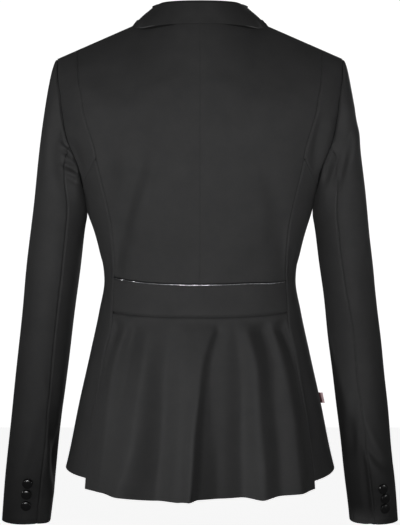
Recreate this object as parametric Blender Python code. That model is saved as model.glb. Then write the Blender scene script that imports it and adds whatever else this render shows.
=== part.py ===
"""Women's equestrian show jacket, worn form with nobody in it.

+Z is up, the back of the jacket faces -Y and the wearer's right is +X. The origin
is between the wearer's shoulders, at the base of the neck. Lengths in the tables
are millimetres; the model is in metres.
"""

import math

import bmesh
import bpy
import numpy as np
from mathutils import Matrix, Vector

MM = 0.001
CLOTH = 1.6 * MM  # wall of the body and sleeve cloth
COLLAR_CLOTH = 2.0 * MM
SEAM = 0.15 * MM  # each side of a seam stands back by this much
LAPEL_GAP = 3.1 * MM  # air under a lapel
LAP = 7.8 * MM  # how far the under front lies inside the over front

for o in list(bpy.data.objects):
    bpy.data.objects.remove(o, do_unlink=True)

# Everything hangs from the wearer's shoulders.
jacket = bpy.data.objects.new("jacket", None)
bpy.context.scene.collection.objects.link(jacket)


# ---------------------------------------------------------------- materials
def material(name, colour, roughness, metallic=0.0):
    m = bpy.data.materials.new(name)
    m.use_nodes = True
    shader = m.node_tree.nodes["Principled BSDF"]
    shader.inputs["Base Color"].default_value = (*colour, 1.0)
    shader.inputs["Roughness"].default_value = roughness
    shader.inputs["Metallic"].default_value = metallic
    return m


BLACK_CLOTH = material("matte black stretch cloth", (0.028, 0.028, 0.031), 0.85)
BLACK_GLOSS = material("glossy black button", (0.012, 0.012, 0.013), 0.18)
CRYSTAL = material("silver crystal trim", (0.72, 0.74, 0.78), 0.15, 0.6)
TAB_CLOTH = material("pale pink tab", (0.75, 0.55, 0.56), 0.8)

# ---------------------------------------------------------------- tables
# Level sections of the body: height, half width, depth of the back and of the
# front from the side line, squareness of the back and of the front.
BODY = np.array(
    [
        # z, half_width, back, front, n_back, n_front
        (-660.0, 203.0, 140.0, 136.0, 2.2, 2.2),
        (-608.5, 188.0, 130.0, 127.0, 2.2, 2.2),
        (-517.5, 169.0, 117.0, 118.0, 2.25, 2.2),
        (-447.5, 153.0, 103.0, 110.0, 2.3, 2.2),
        (-391.5, 141.0, 91.0, 101.0, 2.3, 2.2),
        (-349.5, 134.0, 86.0, 96.0, 2.3, 2.2),
        (-307.5, 141.0, 92.0, 104.0, 2.3, 2.2),
        (-265.5, 152.0, 101.0, 117.0, 2.35, 2.15),
        (-222.0, 164.5, 109.0, 127.0, 2.4, 2.15),
        (-180.0, 186.0, 114.0, 125.0, 2.5, 2.2),
        (-140.0, 200.0, 115.0, 112.0, 2.5, 2.3),
        (-95.0, 207.0, 110.0, 93.0, 2.5, 2.3),
    ]
)
TOP_V = -0.020  # nominal level of the shoulder line and neckline
SHOULDER_X = 0.200  # half of the shoulder width
SHOULDER_Y = -0.006
SHOULDER_DROP = 0.436  # fall of the shoulder line for each metre outwards
NECK_X, NECK_BACK, NECK_FRONT = 0.073, 0.062, 0.074
NECK_Z, NECK_BACK_DIP, NECK_FRONT_DIP = 0.0137, 0.0035, 0.085
NECK_ROUND = 0.9  # 0.5 is an ellipse; more runs into the shoulder more softly
GORGE_X = 0.039  # where the neckline meets the lapel's roll line

# Seams of the body as seen straight from behind or from the front.
ARMHOLE_BACK = np.array(
    [  # z, x
        (-232.0, 161.6), (-214.0, 162.7), (-193.0, 167.0), (-180.0, 172.0),
        (-155.0, 182.4), (-133.0, 186.7), (-114.0, 189.8), (-94.0, 192.3),
        (-71.0, 196.6), (-40.0, 198.5),
    ]
)
ARMHOLE_FRONT = np.array(
    [  # z, x
        (-232.0, 161.6), (-205.0, 162.5), (-180.0, 168.0), (-155.0, 176.0),
        (-133.0, 180.5), (-94.0, 187.0), (-71.0, 193.0), (-40.0, 198.5),
    ]
)
INSERT = np.array(
    [  # z, x: seam between the back panel and the armhole insert
        (-180.0, 141.2), (-164.0, 144.5), (-149.0, 149.3), (-130.0, 155.0),
        (-115.0, 159.0), (-98.0, 161.4), (-72.0, 166.0), (-30.0, 169.7),
    ]
)
INSERT_FOOT = np.array(
    [  # z, x: seam between the insert and the side panel
        (-222.0, 161.6), (-216.0, 159.9), (-196.0, 150.0), (-180.0, 141.2),
    ]
)
PRINCESS = np.array(
    [  # z, x: seam between the back and the side panel, down to the hem
        (-660.0, 159.0), (-628.0, 157.5), (-610.0, 156.4), (-537.0, 146.5),
        (-490.0, 138.4), (-441.0, 129.8), (-415.0, 123.3), (-393.0, 121.1),
        (-385.0, 120.7), (-344.0, 119.4), (-316.0, 119.6), (-293.0, 120.4),
        (-272.0, 122.2), (-242.0, 127.7), (-218.0, 133.4), (-187.0, 140.2),
        (-180.0, 141.2),
    ]
)
FRONT_EDGE = np.array(
    [  # z, x: roll line, front edge past the centre, and cutaway at the hem
        (-610.0, 50.0), (-603.0, 30.0), (-590.0, 16.0), (-570.0, 5.0),
        (-530.0, -6.0), (-490.0, -12.0), (-450.0, -14.5), (-400.0, -15.0),
        (-215.0, -15.0), (-205.0, -12.0), (-58.0, 39.0),
    ]
)
SIDE_SEAM = math.radians(93.0)

# Rows of the panels, from the hem up.
LOWER = [-610, -570, -530, -490, -450, -420, -390.5, -367.5, -344.5, -316, -288, -260, -232]
UPPER = [-216, -200, -184, -165, -146, -125, -104, -80, -50, -20]
ELBOW_ROW = UPPER.index(-165)  # the elbow seam leaves the armhole here
FRONT_SEAM_ROW = UPPER.index(-184)
BAND_TOP, BAND_FOOT = -344.5, -390.5
BAND_TOP_DIP, BAND_FOOT_DIP = -7.5, -4.3  # both seams sag towards the centre back
PEPLUM_ROWS = [-390.5, -420, -450, -490, -530, -570, -610, -629]

# Folds of the back skirt, each a ridge or trough from the band to the hem: x at the
# shares FOLD_SHARE of the way down, how far it stands out there, extra length at the hem.
FOLD_SHARE = np.array([0.08, 0.2, 0.5, 0.75, 1.0])
SKIRT_FOLDS = np.array(
    [
        # x at each share, height at each share, drop
        (-108, -115, -127, -133, -139, 5.0, 8.0, 8.0, 7.0, 6.0, 0.0),
        (-96, -96, -108, -121, -131, -5.0, -4.0, 3.0, 6.0, 8.0, 0.0),
        (-74, -79, -89, -100, -113, 5.0, 10.0, 15.0, 17.0, 18.0, 1.5),
        (-57, -60, -67, -76, -86, 2.0, 3.0, 3.0, 2.0, 1.0, 4.0),
        (-50, -53, -57, -64, -73, 2.5, 4.0, 4.5, 3.5, 2.0, 4.5),
        (-40, -43, -46, -53, -60, 1.0, 0.5, -1.0, -2.0, -3.0, 6.0),
        (-26, -30, -34, -42, -50, 5.0, 9.0, 15.0, 20.0, 24.0, 3.0),
        (16, 5, -7, -13, -18, 6.0, 13.0, 27.0, 40.0, 52.0, 0.0),
        (25, 13, 2, -4, -9, -3.0, 1.0, 8.0, 12.0, 14.0, 0.0),
        (38, 32, 26, 25, 24, 3.0, 4.5, 4.0, 4.0, 3.0, 0.0),
        (46, 50, 50, 48, 46, 2.0, 1.0, -2.0, -4.0, -5.0, 1.0),
        (57, 67, 74, 79, 84, 8.0, 12.0, 18.0, 23.0, 27.0, 3.0),
        (77, 84, 94, 101, 107, -7.0, -5.0, 5.0, 10.0, 14.0, 0.0),
        (94, 105, 121, 130, 137, 2.0, 7.0, 17.0, 22.0, 25.0, 0.0),
        (110, 121, 135, 145, 151, -8.0, -7.0, 0.0, 4.0, 5.0, 0.0),
    ]
)
HEM_DIP = 4.0  # the hem hangs lower at the centre back
FLAT_FOLD = 4  # the short stretch after this fold has no column of its own

# Sleeve sections: height, centre x, half width, centre y, half depth.
SLEEVE = np.array(
    [
        (-688.0, 248.3, 34.8, 38.0, 43.0),
        (-657.5, 244.8, 35.3, 33.0, 44.0),
        (-587.0, 236.2, 35.7, 21.0, 46.5),
        (-517.5, 228.0, 36.1, 11.0, 49.5),
        (-447.0, 218.9, 36.4, 4.0, 52.0),
        (-377.5, 210.5, 36.6, -1.0, 54.5),
        (-320.0, 203.5, 37.5, -3.0, 56.5),
        (-265.5, 197.0, 38.0, -4.0, 58.0),
    ]
)
SLEEVE_ROWS = [-688, -640, -582, -517, -450, -385, -325, -265.5]
CAP_STEPS = [0.25, 0.5, 0.72, 0.88, 1.0]
# Angle of the elbow seam round the sleeve, from the outer side by way of the back.
ELBOW = {
    -1: np.array([(-690, 121.3), (-560, 120.4), (-490, 118.9), (-420, 116.4), (-355, 114.5), (-265, 107.6)]),
    1: np.array([(-690, 92.5), (-630, 95.0), (-560, 96.5), (-510, 100.0), (-420, 98.0), (-350, 105.0), (-265, 106.0)]),
}
INNER_SEAM = 232.0

# Collar: angle round the neck from the centre back, rise and inward lean of the
# roll above the neck seam, and the fall's lower edge.
COLLAR = np.array(
    [
        # psi, rise, lean, edge_x, edge_z
        (0.0, 24.5, 7.5, 0.0, 2.0),
        (22.0, 24.5, 7.0, 36.0, 2.0),
        (33.5, 24.5, 7.0, 52.0, 1.8),
        (45.0, 24.5, 8.0, 66.0, 1.5),
        (64.0, 24.0, 12.0, 85.0, 1.2),
        (80.0, 23.5, 15.0, 95.5, 3.0),
        (92.0, 23.5, 15.0, 99.5, 6.6),  # on the shoulder's ridge
        (104.0, 25.0, 13.5, 102.5, -5.0),
        (116.0, 26.0, 11.0, 104.0, -20.0),
        (128.0, 21.0, 8.0, 104.0, -37.0),
        (138.0, 13.0, 4.5, 101.5, -50.0),
        (147.0, 6.5, 2.0, 97.0, -58.0),
    ]
)
STAND_SHARE = 0.55  # the stand's seam, as a share of the rise

LAPEL = np.array(
    [
        # roll_x, roll_z, edge_x, edge_z
        (41.0, -60.5, 108.0, -85.0),
        (38.5, -68.5, 107.5, -92.0),
        (35.2, -77.5, 105.5, -102.0),
        (31.5, -88.0, 102.0, -113.0),
        (21.0, -117.0, 88.5, -141.0),
        (11.0, -146.0, 66.0, -167.0),
        (1.0, -175.0, 34.0, -190.0),
        (-8.0, -200.5, -2.0, -205.0),
    ]
)
NOTCH = (0.6, 12.0)  # where along the lapel's top edge the notch is, and its rise

FRONT_BUTTONS = [-222.0, -286.0, -350.0]
# Cuff buttons: height and angle round the sleeve.
CUFF_BUTTONS = {
    -1: [(-635.0, 87.0), (-650.0, 87.0), (-665.5, 88.5)],
    1: [(-640.0, 63.5), (-655.0, 60.5), (-670.0, 63.5)],
}
BUTTON_D = 14.6


# ---------------------------------------------------------------- helpers
def at(table, key, column=1):
    """Smooth value of a table's column at a key in its first column (rising)."""
    k, c = table[:, 0], table[:, column]
    key = np.clip(key, k[0], k[-1])
    i = int(np.clip(np.searchsorted(k, key) - 1, 0, len(k) - 2))

    def slope(j):
        if j == 0:
            return (c[1] - c[0]) / (k[1] - k[0])
        if j == len(k) - 1:
            return (c[-1] - c[-2]) / (k[-1] - k[-2])
        a, b = (c[j] - c[j - 1]) / (k[j] - k[j - 1]), (c[j + 1] - c[j]) / (k[j + 1] - k[j])
        wa, wb = k[j + 1] - k[j], k[j] - k[j - 1]
        return (a * wa + b * wb) / (wa + wb)

    h = k[i + 1] - k[i]
    t = (key - k[i]) / h
    return hermite(c[i], c[i + 1], slope(i) * h, slope(i + 1) * h, t)


def hermite(p0, p1, m0, m1, t):
    return (
        (2 * t**3 - 3 * t**2 + 1) * p0
        + (t**3 - 2 * t**2 + t) * m0
        + (3 * t**2 - 2 * t**3) * p1
        + (t**3 - t**2) * m1
    )


def unit(v):
    return v / max(np.linalg.norm(v), 1e-12)


def ring(s, front, v, w):
    """Point of a level section: s is the sine of the angle, v the height."""
    mm = v / MM
    a, d, n = (
        at(BODY, mm, 1) * MM - w,
        at(BODY, mm, 3 if front else 2) * MM - w,
        at(BODY, mm, 5 if front else 4),
    )
    y = d * max(1 - abs(s) ** n, 0.0) ** (1 / n)
    return np.array([a * s, y if front else -y, v])


def top_line(s, front, w):
    """Point of the neckline and shoulder line."""
    x = abs(s) * (SHOULDER_X - w)
    neck = NECK_X * (1 - w / SHOULDER_X)
    if x >= neck:
        y, z = SHOULDER_Y, NECK_Z - (x - neck) * SHOULDER_DROP
    else:
        c = max(1 - (x / neck) ** 2, 0.0) ** NECK_ROUND
        y = SHOULDER_Y + c * ((NECK_FRONT - w) if front else -(NECK_BACK - w))
        z = NECK_Z - c * (NECK_FRONT_DIP if front else NECK_BACK_DIP)
    return np.array([math.copysign(x, s), y, z - w])


def body(angle, v, w=0.0):
    """Point of the body cloth; angle 0 is the centre back, 180 degrees the centre front."""
    s, front = math.sin(angle), math.cos(angle) < 0
    base = BODY[-1, 0] * MM
    if v <= base:
        return ring(s, front, v, w)
    span = TOP_V - base
    p0, p1 = ring(s, front, base, w), top_line(s, front, w)
    m0 = (p0 - ring(s, front, base - 0.004, w)) / 0.004 * span
    neck = max(0.0, 1 - abs(s) * SHOULDER_X / NECK_X)
    flat = 0.050 - 0.030 * min(neck * 2, 1.0)
    m1 = np.array([0.0, -flat if front else flat, 0.020 + 0.030 * min(neck * 2, 1.0)])
    return hermite(p0, p1, m0, m1, (v - base) / span)


def angle_at(table, v, front, w=0.0):
    """Angle at which a seam, given as x by height, crosses the level v."""
    lo, hi = (-0.12, math.pi / 2)
    for _ in range(40):
        mid = (lo + hi) / 2
        p = body(math.pi - mid if front else mid, v, w)
        if p[0] < at(table, p[2] / MM) * MM:
            lo = mid
        else:
            hi = mid
    return math.pi - lo if front else lo


def on_body(x, z, front, w=0.0):
    """Point of the body cloth at x and z (metres), moved out by -w."""
    lo, hi = BODY[0, 0] * MM, TOP_V
    for _ in range(40):
        mid = (lo + hi) / 2
        half = abs(body(math.pi / 2, mid, w)[0])
        a = math.asin(max(-1.0, min(1.0, x / half)))
        p = body(math.pi - a if front else a, mid, w)
        if p[2] < z:
            lo = mid
        else:
            hi = mid
    return p


def stand_back(grid, gap=SEAM, sides="ablr"):
    """Moves the rim of a grid of points inwards for the seams."""
    g = grid.copy()

    def step(edge, inside):
        d = inside - edge
        return edge + d / np.linalg.norm(d, axis=-1, keepdims=True) * gap

    if "a" in sides:
        g[0] = step(g[0], g[1])
    if "b" in sides:
        g[-1] = step(g[-1], g[-2])
    if "l" in sides:
        g[:, 0] = step(g[:, 0], g[:, 1])
    if "r" in sides:
        g[:, -1] = step(g[:, -1], g[:, -2])
    return g


def placed(name, mesh, finish):
    """Object of a mesh with its material, hung from the shoulders."""
    mesh.materials.append(finish)
    mesh.shade_smooth()
    mesh.set_sharp_from_angle(angle=math.radians(40))
    o = bpy.data.objects.new(name, mesh)
    bpy.context.scene.collection.objects.link(o)
    o.parent = jacket
    return o


def wall(name, outer, inner, finish=BLACK_CLOTH):
    """Closed wall between two grids of points."""
    bm = bmesh.new()
    rows, cols = outer.shape[:2]
    faces = [[[bm.verts.new(p) for p in row] for row in g] for g in (outer, inner)]
    a, b = faces
    for r in range(rows - 1):
        for c in range(cols - 1):
            for g in (a, b):  # each patch of cloth is two flat facets
                bm.faces.new((g[r][c], g[r][c + 1], g[r + 1][c + 1]))
                bm.faces.new((g[r][c], g[r + 1][c + 1], g[r + 1][c]))
    rim = (
        [(0, c) for c in range(cols)]
        + [(r, cols - 1) for r in range(1, rows)]
        + [(rows - 1, c) for c in range(cols - 2, -1, -1)]
        + [(r, 0) for r in range(rows - 2, 0, -1)]
    )
    for (r0, c0), (r1, c1) in zip(rim, rim[1:] + rim[:1]):
        a0, b0, a1, b1 = a[r0][c0], b[r0][c0], a[r1][c1], b[r1][c1]
        # two pieces that meet at a seam have their edges cut the same way
        halves = ((a0, b0, a1), (b0, b1, a1)) if (r0, c0) < (r1, c1) else ((a0, b0, b1), (a0, b1, a1))
        for half in halves:
            bm.faces.new(half)
    bmesh.ops.recalc_face_normals(bm, faces=bm.faces)
    if bm.calc_volume(signed=True) < 0:  # a curled wall can come out inside out
        bmesh.ops.reverse_faces(bm, faces=bm.faces)
    mesh = bpy.data.meshes.new(name)
    bm.to_mesh(mesh)
    bm.free()
    return placed(name, mesh, finish)


def mirrored(grid, side):
    return grid * np.array([side, 1, 1])


def side_name(side):
    return "right" if side > 0 else "left"


def panel(point, left, right, rows, columns):
    """Outer and inner grids between two seams, given as angles for each row."""
    if isinstance(columns, int):
        columns = [j / columns for j in range(columns + 1)]
    made = []
    for w in (0.0, CLOTH):
        grid = np.zeros((len(rows), len(columns), 3))
        for i, v in enumerate(rows):
            for j, f in enumerate(columns):
                grid[i, j] = point(left[i] + (right[i] - left[i]) * f, v, w, i, f)
        made.append(grid)
    return made


# ---------------------------------------------------------------- body panels
low, up = [v * MM for v in LOWER], [v * MM for v in UPPER]
band_i = LOWER.index(BAND_TOP)


def plain(angle, v, w, i, f):
    return body(angle, v, w)


# Centre-back panels, from the band to the neck and shoulder.
back_rows = low[band_i:] + up
princess_or_insert = [
    angle_at(PRINCESS if v <= -0.18 else INSERT, v, False) for v in back_rows
]


def back_point(angle, v, w, i, f):
    dip = BAND_TOP_DIP * MM * (1 - f**2) * max(0.0, 1 - i / 4) ** 1.5
    return body(angle, v + dip, w)


neck_f = math.asin(NECK_X / SHOULDER_X) / princess_or_insert[-1]  # shoulder's neck point
back_columns = [0.0, 0.38 * neck_f, 0.7 * neck_f, 0.9 * neck_f, neck_f, 0.55, 0.77, 1.0]
back = panel(back_point, [0.0] * len(back_rows), princess_or_insert, back_rows, back_columns)

# Armhole inserts.
insert_rows = up
insert_left = [angle_at(INSERT_FOOT if v < -0.18 else INSERT, v, False) for v in insert_rows]
armhole_back = [angle_at(ARMHOLE_BACK, v, False) for v in insert_rows]
insert = panel(plain, insert_left, armhole_back, insert_rows, 2)

# Side panels, underarm to hem, ending in a point under the insert.
side_rows = low + up[:3]
side_left = [angle_at(PRINCESS, v, False) for v in side_rows]
side_right = [SIDE_SEAM] * (len(low) - 1) + [math.pi / 2] + [
    angle_at(INSERT_FOOT, v, False) for v in up[:3]
]
side_panel = panel(plain, side_left, side_right, side_rows, 5)

# Fronts: the right one laps over the left one past the centre.
front_rows = low + up
front_left = [SIDE_SEAM] * (len(low) - 1) + [math.pi / 2] + [
    angle_at(ARMHOLE_FRONT, v, True) for v in up
]
front_right = [
    angle_at(FRONT_EDGE, v, True) if v < TOP_V else math.pi - math.asin(GORGE_X / SHOULDER_X)
    for v in front_rows
]


def lapped(angle, v, w):
    """Under front: it sinks inside the over front near the centre."""
    x = body(angle, v)[0]
    t = min(max((0.085 - x) / 0.065, 0.0), 1.0)
    return body(angle, v, w + LAP * t * t * (3 - 2 * t))


neck_f = (math.pi - math.asin(NECK_X / SHOULDER_X) - front_left[-1]) / (front_right[-1] - front_left[-1])
front_columns = [0.0, 0.2, 0.38, 0.54, 0.67, 0.78, neck_f, 0.92, 0.96, 1.0]
front_over = panel(plain, front_left, front_right, front_rows, front_columns)
front_under = panel(
    lambda a, v, w, i, f: lapped(a, v, w), front_left, front_right, front_rows, front_columns
)

for side in (1, -1):
    n = side_name(side)
    for name, made in (
        ("back_", back),
        ("back_insert_", insert),
        ("side_", side_panel),
        ("front_", front_over if side > 0 else front_under),
    ):
        wall(name + n, *[mirrored(stand_back(g), side) for g in made])


# ---------------------------------------------------------------- waistband, trim, skirt
def fluted(v):
    """How far down the skirt a level is, from 0 under the band to 1 at the hem."""
    return min(max((BAND_FOOT * MM - 0.004 - v) / 0.235, 0.0), 1.0)


def folds(v, half):
    """Places, heights and drops of the folds at a level of the skirt, seam to seam."""
    t = fluted(v)
    place, height, drop = [-half], [0.0], [0.0]
    for row in SKIRT_FOLDS:
        place.append(float(at(np.column_stack([FOLD_SHARE, row[:5]]), t)) * MM)
        high = float(at(np.column_stack([FOLD_SHARE, row[5:10]]), t))
        height.append(high * min(t / FOLD_SHARE[0], 1.0) * MM)
        drop.append((row[10] + HEM_DIP * (1 - (place[-1] / half) ** 2)) * t * t * MM)
    return place + [half], height + [0.0], drop + [0.0]


def set_in(grid, thick):
    """A sheet moved in by the cloth's thickness, square to its folds."""
    run = np.diff(grid, axis=1)
    run /= np.linalg.norm(run, axis=-1, keepdims=True)
    across = np.concatenate([2 * run[:, :1], run[:, 1:] + run[:, :-1], 2 * run[:, -1:]], axis=1)
    bend = np.linalg.norm(across, axis=-1, keepdims=True) / 2
    n = np.cross(np.gradient(grid, axis=0), across)
    n /= np.linalg.norm(n, axis=-1, keepdims=True)
    n *= np.where(n[..., 1:2] > 0, -1.0, 1.0)
    return grid - n * thick / np.maximum(bend, 0.65)


def band_point(angle, v, w, i, f):
    share = (v / MM - BAND_FOOT) / (BAND_TOP - BAND_FOOT)
    dip = BAND_FOOT_DIP + (BAND_TOP_DIP - BAND_FOOT_DIP) * share
    return body(angle, v + dip * MM * (1 - (2 * f - 1) ** 2), w)


def skirt_point(angle, v, w, i, f, out, lower):
    fade = max(0.0, 1 - i / 4) ** 1.5
    p = body(angle, v + BAND_FOOT_DIP * MM * (1 - (2 * f - 1) ** 2) * fade, w)
    return p - np.array([0.0, out, lower])


band_rows = [BAND_FOOT * MM, -0.3675, BAND_TOP * MM]
edge = [angle_at(PRINCESS, v, False) for v in band_rows]
band = panel(band_point, [-a for a in edge], edge, band_rows, 12)
wall("waistband_back", *[stand_back(g) for g in band])

trim_edge = edge[-1] * 0.985
trim = []
for w in (-1.5 * MM, -0.35 * MM):
    grid = np.zeros((2, 25, 3))
    for i, dv in enumerate((-1.0 * MM, 1.0 * MM)):
        for j in range(25):
            f = 2 * j / 24 - 1
            grid[i, j] = body(
                trim_edge * f, (BAND_TOP + BAND_TOP_DIP * (1 - f * f)) * MM + dv, w
            )
    trim.append(grid)
wall("waist_trim", *trim, CRYSTAL)

skirt_rows = [v * MM for v in PEPLUM_ROWS]
edge = [angle_at(PRINCESS, v, False) for v in skirt_rows]
skirt = []
for w in (0.0, CLOTH):
    grid = []
    for i, v in enumerate(skirt_rows):
        half = abs(body(math.pi / 2, v)[0])
        seam = abs(body(edge[i], v)[0])
        place, height, drop = folds(v, seam)
        # a column on each fold and one halfway to the next
        steps = [k for k in np.arange(0, len(place) - 0.5, 0.5) if k != FLAT_FOLD + 0.5]
        row = []
        for k in steps:
            x, out, lower = (np.interp(k, range(len(place)), c) for c in (place, height, drop))
            angle = math.copysign(edge[i], x) if k in (0, len(place) - 1) else math.asin(x / half)
            row.append(skirt_point(angle, v, w, i, (angle + edge[i]) / (2 * edge[i]), out, lower))
        grid.append(row)
    skirt.append(np.array(grid))
skirt[1][1:, 1:-1] = set_in(skirt[0], CLOTH)[1:, 1:-1]
wall("peplum_back", *[stand_back(g) for g in skirt])


# ---------------------------------------------------------------- sleeves
def sleeve_ring(z, phi, w):
    """Point of a sleeve section; phi 0 is the outer side, 90 degrees the back."""
    mm = z / MM
    cx, a, cy, d = (at(SLEEVE, mm, c) * MM for c in (1, 2, 3, 4))
    return np.array(
        [cx + (a - w) * math.cos(phi), cy - (d - w) * math.sin(phi), z]
    )


def sleeve_cap(start, tip, phi, t, w):
    """From the section under the arm to the armhole."""
    run = np.linalg.norm(tip - start)
    m0 = unit(np.array([-0.12, 0.01, 1.0])) * run
    c = (1 + math.cos(phi)) / 2
    m1 = np.array([-2.0 * c * (1 - c) - 0.18 * c, 0.0, 1 - 0.91 * c * c]) * run
    return hermite(start, tip, m0, m1, t)


armhole_front = [angle_at(ARMHOLE_FRONT, v, True) for v in up]
loop = (
    [(a, v) for a, v in zip(armhole_back, up)][::-1]
    + [(math.pi / 2, low[-1])]
    + [(a, v) for a, v in zip(armhole_front, up)]
)
tips = {w: np.array([body(a, v, w) for a, v in loop]) for w in (0.0, CLOTH)}
length = np.concatenate(
    [[0], np.cumsum(np.linalg.norm(np.diff(tips[0.0], axis=0), axis=1))]
)
elbow_k = len(up) - 1 - ELBOW_ROW
inner_k = len(up) + 1 + FRONT_SEAM_ROW


def spread_angle(k, z, side):
    """Angle of the sleeve's line k at a height."""
    e = at(ELBOW[side], z / MM)
    marks = [(0, 0.0), (elbow_k, e), (inner_k, INNER_SEAM), (len(loop) - 1, 360.0)]
    for (k0, a0), (k1, a1) in zip(marks, marks[1:]):
        if k <= k1:
            f = (length[k] - length[k0]) / (length[k1] - length[k0])
            return math.radians(a0 + (a1 - a0) * f)
    return 0.0


for side in (1, -1):
    n = side_name(side)
    grids = []
    for w in (0.0, CLOTH):
        rows = []
        for z in [r * MM for r in SLEEVE_ROWS]:
            rows.append(
                [sleeve_ring(z, spread_angle(k, z, side), w) for k in range(len(loop))]
            )
        z = SLEEVE_ROWS[-1] * MM
        for t in CAP_STEPS:
            rows.append(
                [
                    sleeve_cap(rows[len(SLEEVE_ROWS) - 1][k], tips[w][k], spread_angle(k, z, side), t, w)
                    for k in range(len(loop))
                ]
            )
        grids.append(np.array(rows))
    over = [np.concatenate([g[:, inner_k:], g[:, 1 : elbow_k + 1]], axis=1) for g in grids]
    under = [g[:, elbow_k : inner_k + 1] for g in grids]
    for name, made, bevel in (("sleeve_top_", over, 1.0), ("sleeve_under_", under, 3.5)):
        # the under sleeve's edges are cut back a little on the inside
        gaps = (2.4 * SEAM, 2.4 * SEAM * bevel)
        wall(name + n, *[mirrored(stand_back(g, gap), side) for g, gap in zip(made, gaps)])


# ---------------------------------------------------------------- collar and lapels
def neck_seam(psi):
    """Neck seam at an angle from the centre back, and the way in to the neck."""
    s, c = math.sin(psi), math.cos(psi)
    depth = NECK_BACK if c > 0 else NECK_FRONT
    line = back[0][-1, :5] if c > 0 else front_over[0][-1, :5:-1]
    p = np.array([NECK_X * s] + [np.interp(NECK_X * s, line[:, 0], line[:, k]) for k in (1, 2)])
    return p, unit(np.array([-s / NECK_X, c / depth, 0.0]))


def collar_lines(row):
    """Stand from the neck seam up, and the fall over the roll to its edge."""
    psi, rise, lean, ex, ez = row
    psi, rise, lean, ex, ez = math.radians(psi), rise * MM, lean * MM, ex * MM, ez * MM
    p, e = neck_seam(psi)
    high = np.array([0.0, 0.0, 1.0])
    t = COLLAR_CLOTH
    gap = SEAM * (1 + 1.8 * math.sin(psi / 2) ** 2)  # wider where the seam falls steeply

    def leg(h, inwards):
        return p + e * (lean * h / rise + inwards) + high * h

    stand = [leg(h, 0.0) for h in np.linspace(0.5 * MM, rise * STAND_SHARE - gap, 3)]
    stand_in = [q + e * t for q in stand]
    roll = min(5.0 * MM, rise * 0.42)
    fall = [leg(rise * STAND_SHARE + gap, t), leg(rise - roll * 0.75, t)]
    fall.append(leg(rise, t - roll * 0.8))
    start = leg(rise - roll * 0.35, t - roll * 1.9)
    if abs(psi - math.radians(92.0)) < 1e-6:
        rest = np.array([ex, SHOULDER_Y, ez])
    else:
        front = psi > math.pi / 2
        rest = on_body(ex, ez, front, -6.5 * MM)
    lift = unit(np.array([-e[0], -e[1], 0.9]))
    mid = (start + rest) / 2 + lift * 3.0 * MM
    for f in (0.0, 0.33, 0.66, 1.0):
        q = (1 - f) ** 2 * start + 2 * f * (1 - f) * mid + f * f * rest
        for facing in (False, True):  # it rides on the shoulder, back and front
            clear = on_body(q[0], q[2], facing, -6.5 * MM)
            if abs(clear[2] - q[2]) < 0.3 * MM and (psi > math.pi / 2) == facing:
                q[1] = max(q[1], clear[1]) if facing else min(q[1], clear[1])
        fall.append(q)
    foot = [leg(rise * STAND_SHARE + gap, 0.0), leg(rise - roll * 0.75, 0.0)]
    return np.array(stand), np.array(stand_in), np.array(fall), np.array(foot)


right_rows = [collar_lines(r) for r in COLLAR]


def both(part):
    g = np.array([r[part] for r in right_rows])
    return np.concatenate([g[:0:-1] * np.array([-1, 1, 1]), g])


def normals(grid):
    du, dv = np.gradient(grid, axis=0), np.gradient(grid, axis=1)
    n = np.cross(du, dv)
    return n / np.linalg.norm(n, axis=-1, keepdims=True)


wall("collar_stand", both(0), both(1))
fall = both(2)
fall_in = fall + normals(fall) * COLLAR_CLOTH
fall_in[:, :2] = both(3)
wall("collar_fall", fall_in, fall)  # this order cuts its foot the way the stand's top is cut


def lie_on(cloth, x, z):
    """Depth of a front panel's outer face at x and z."""
    best = None
    for r in range(cloth.shape[0] - 1):
        for c in range(cloth.shape[1] - 1):
            q = cloth[r : r + 2, c : c + 2].reshape(4, 3)
            for tri in ((0, 1, 3), (0, 3, 2)):
                p = q[list(tri)]
                m = np.array([p[1] - p[0], p[2] - p[0]])[:, [0, 2]].T
                det = np.linalg.det(m)
                if abs(det) < 1e-12:
                    continue
                u, v = np.linalg.solve(m, np.array([x - p[0, 0], z - p[0, 2]]))
                if u > -1e-6 and v > -1e-6 and u + v < 1 + 1e-6:
                    y = p[0, 1] + u * (p[1, 1] - p[0, 1]) + v * (p[2, 1] - p[0, 1])
                    best = y if best is None else max(best, y)
    return best


for side, cloth in ((1, front_over[0]), (-1, front_under[0])):
    flat = np.zeros((len(LAPEL), 7, 3))
    for i, (rx, rz, ex, ez) in enumerate(LAPEL * MM):
        for j in range(7):
            f = j / 6
            x, z = rx + (ex - rx) * f, rz + (ez - rz) * f
            if i == 0:
                z += NOTCH[1] * MM * max(0.0, 1 - abs(f - NOTCH[0]) / NOTCH[0])
            inside = [lie_on(cloth, x + k * MM, z) for k in (0.4, 1.5, 3.0, 5.0)]
            y = max([k for k in inside[:2] if k is not None] or [k for k in inside if k is not None])
            flat[i, j] = (x, y, z)
    face = normals(flat)
    face *= np.sign(face[:, :, 1:2])
    wall(
        "lapel_" + side_name(side),
        *[mirrored(flat + face * d, side) for d in (LAPEL_GAP + CLOTH, LAPEL_GAP)],
    )


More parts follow.
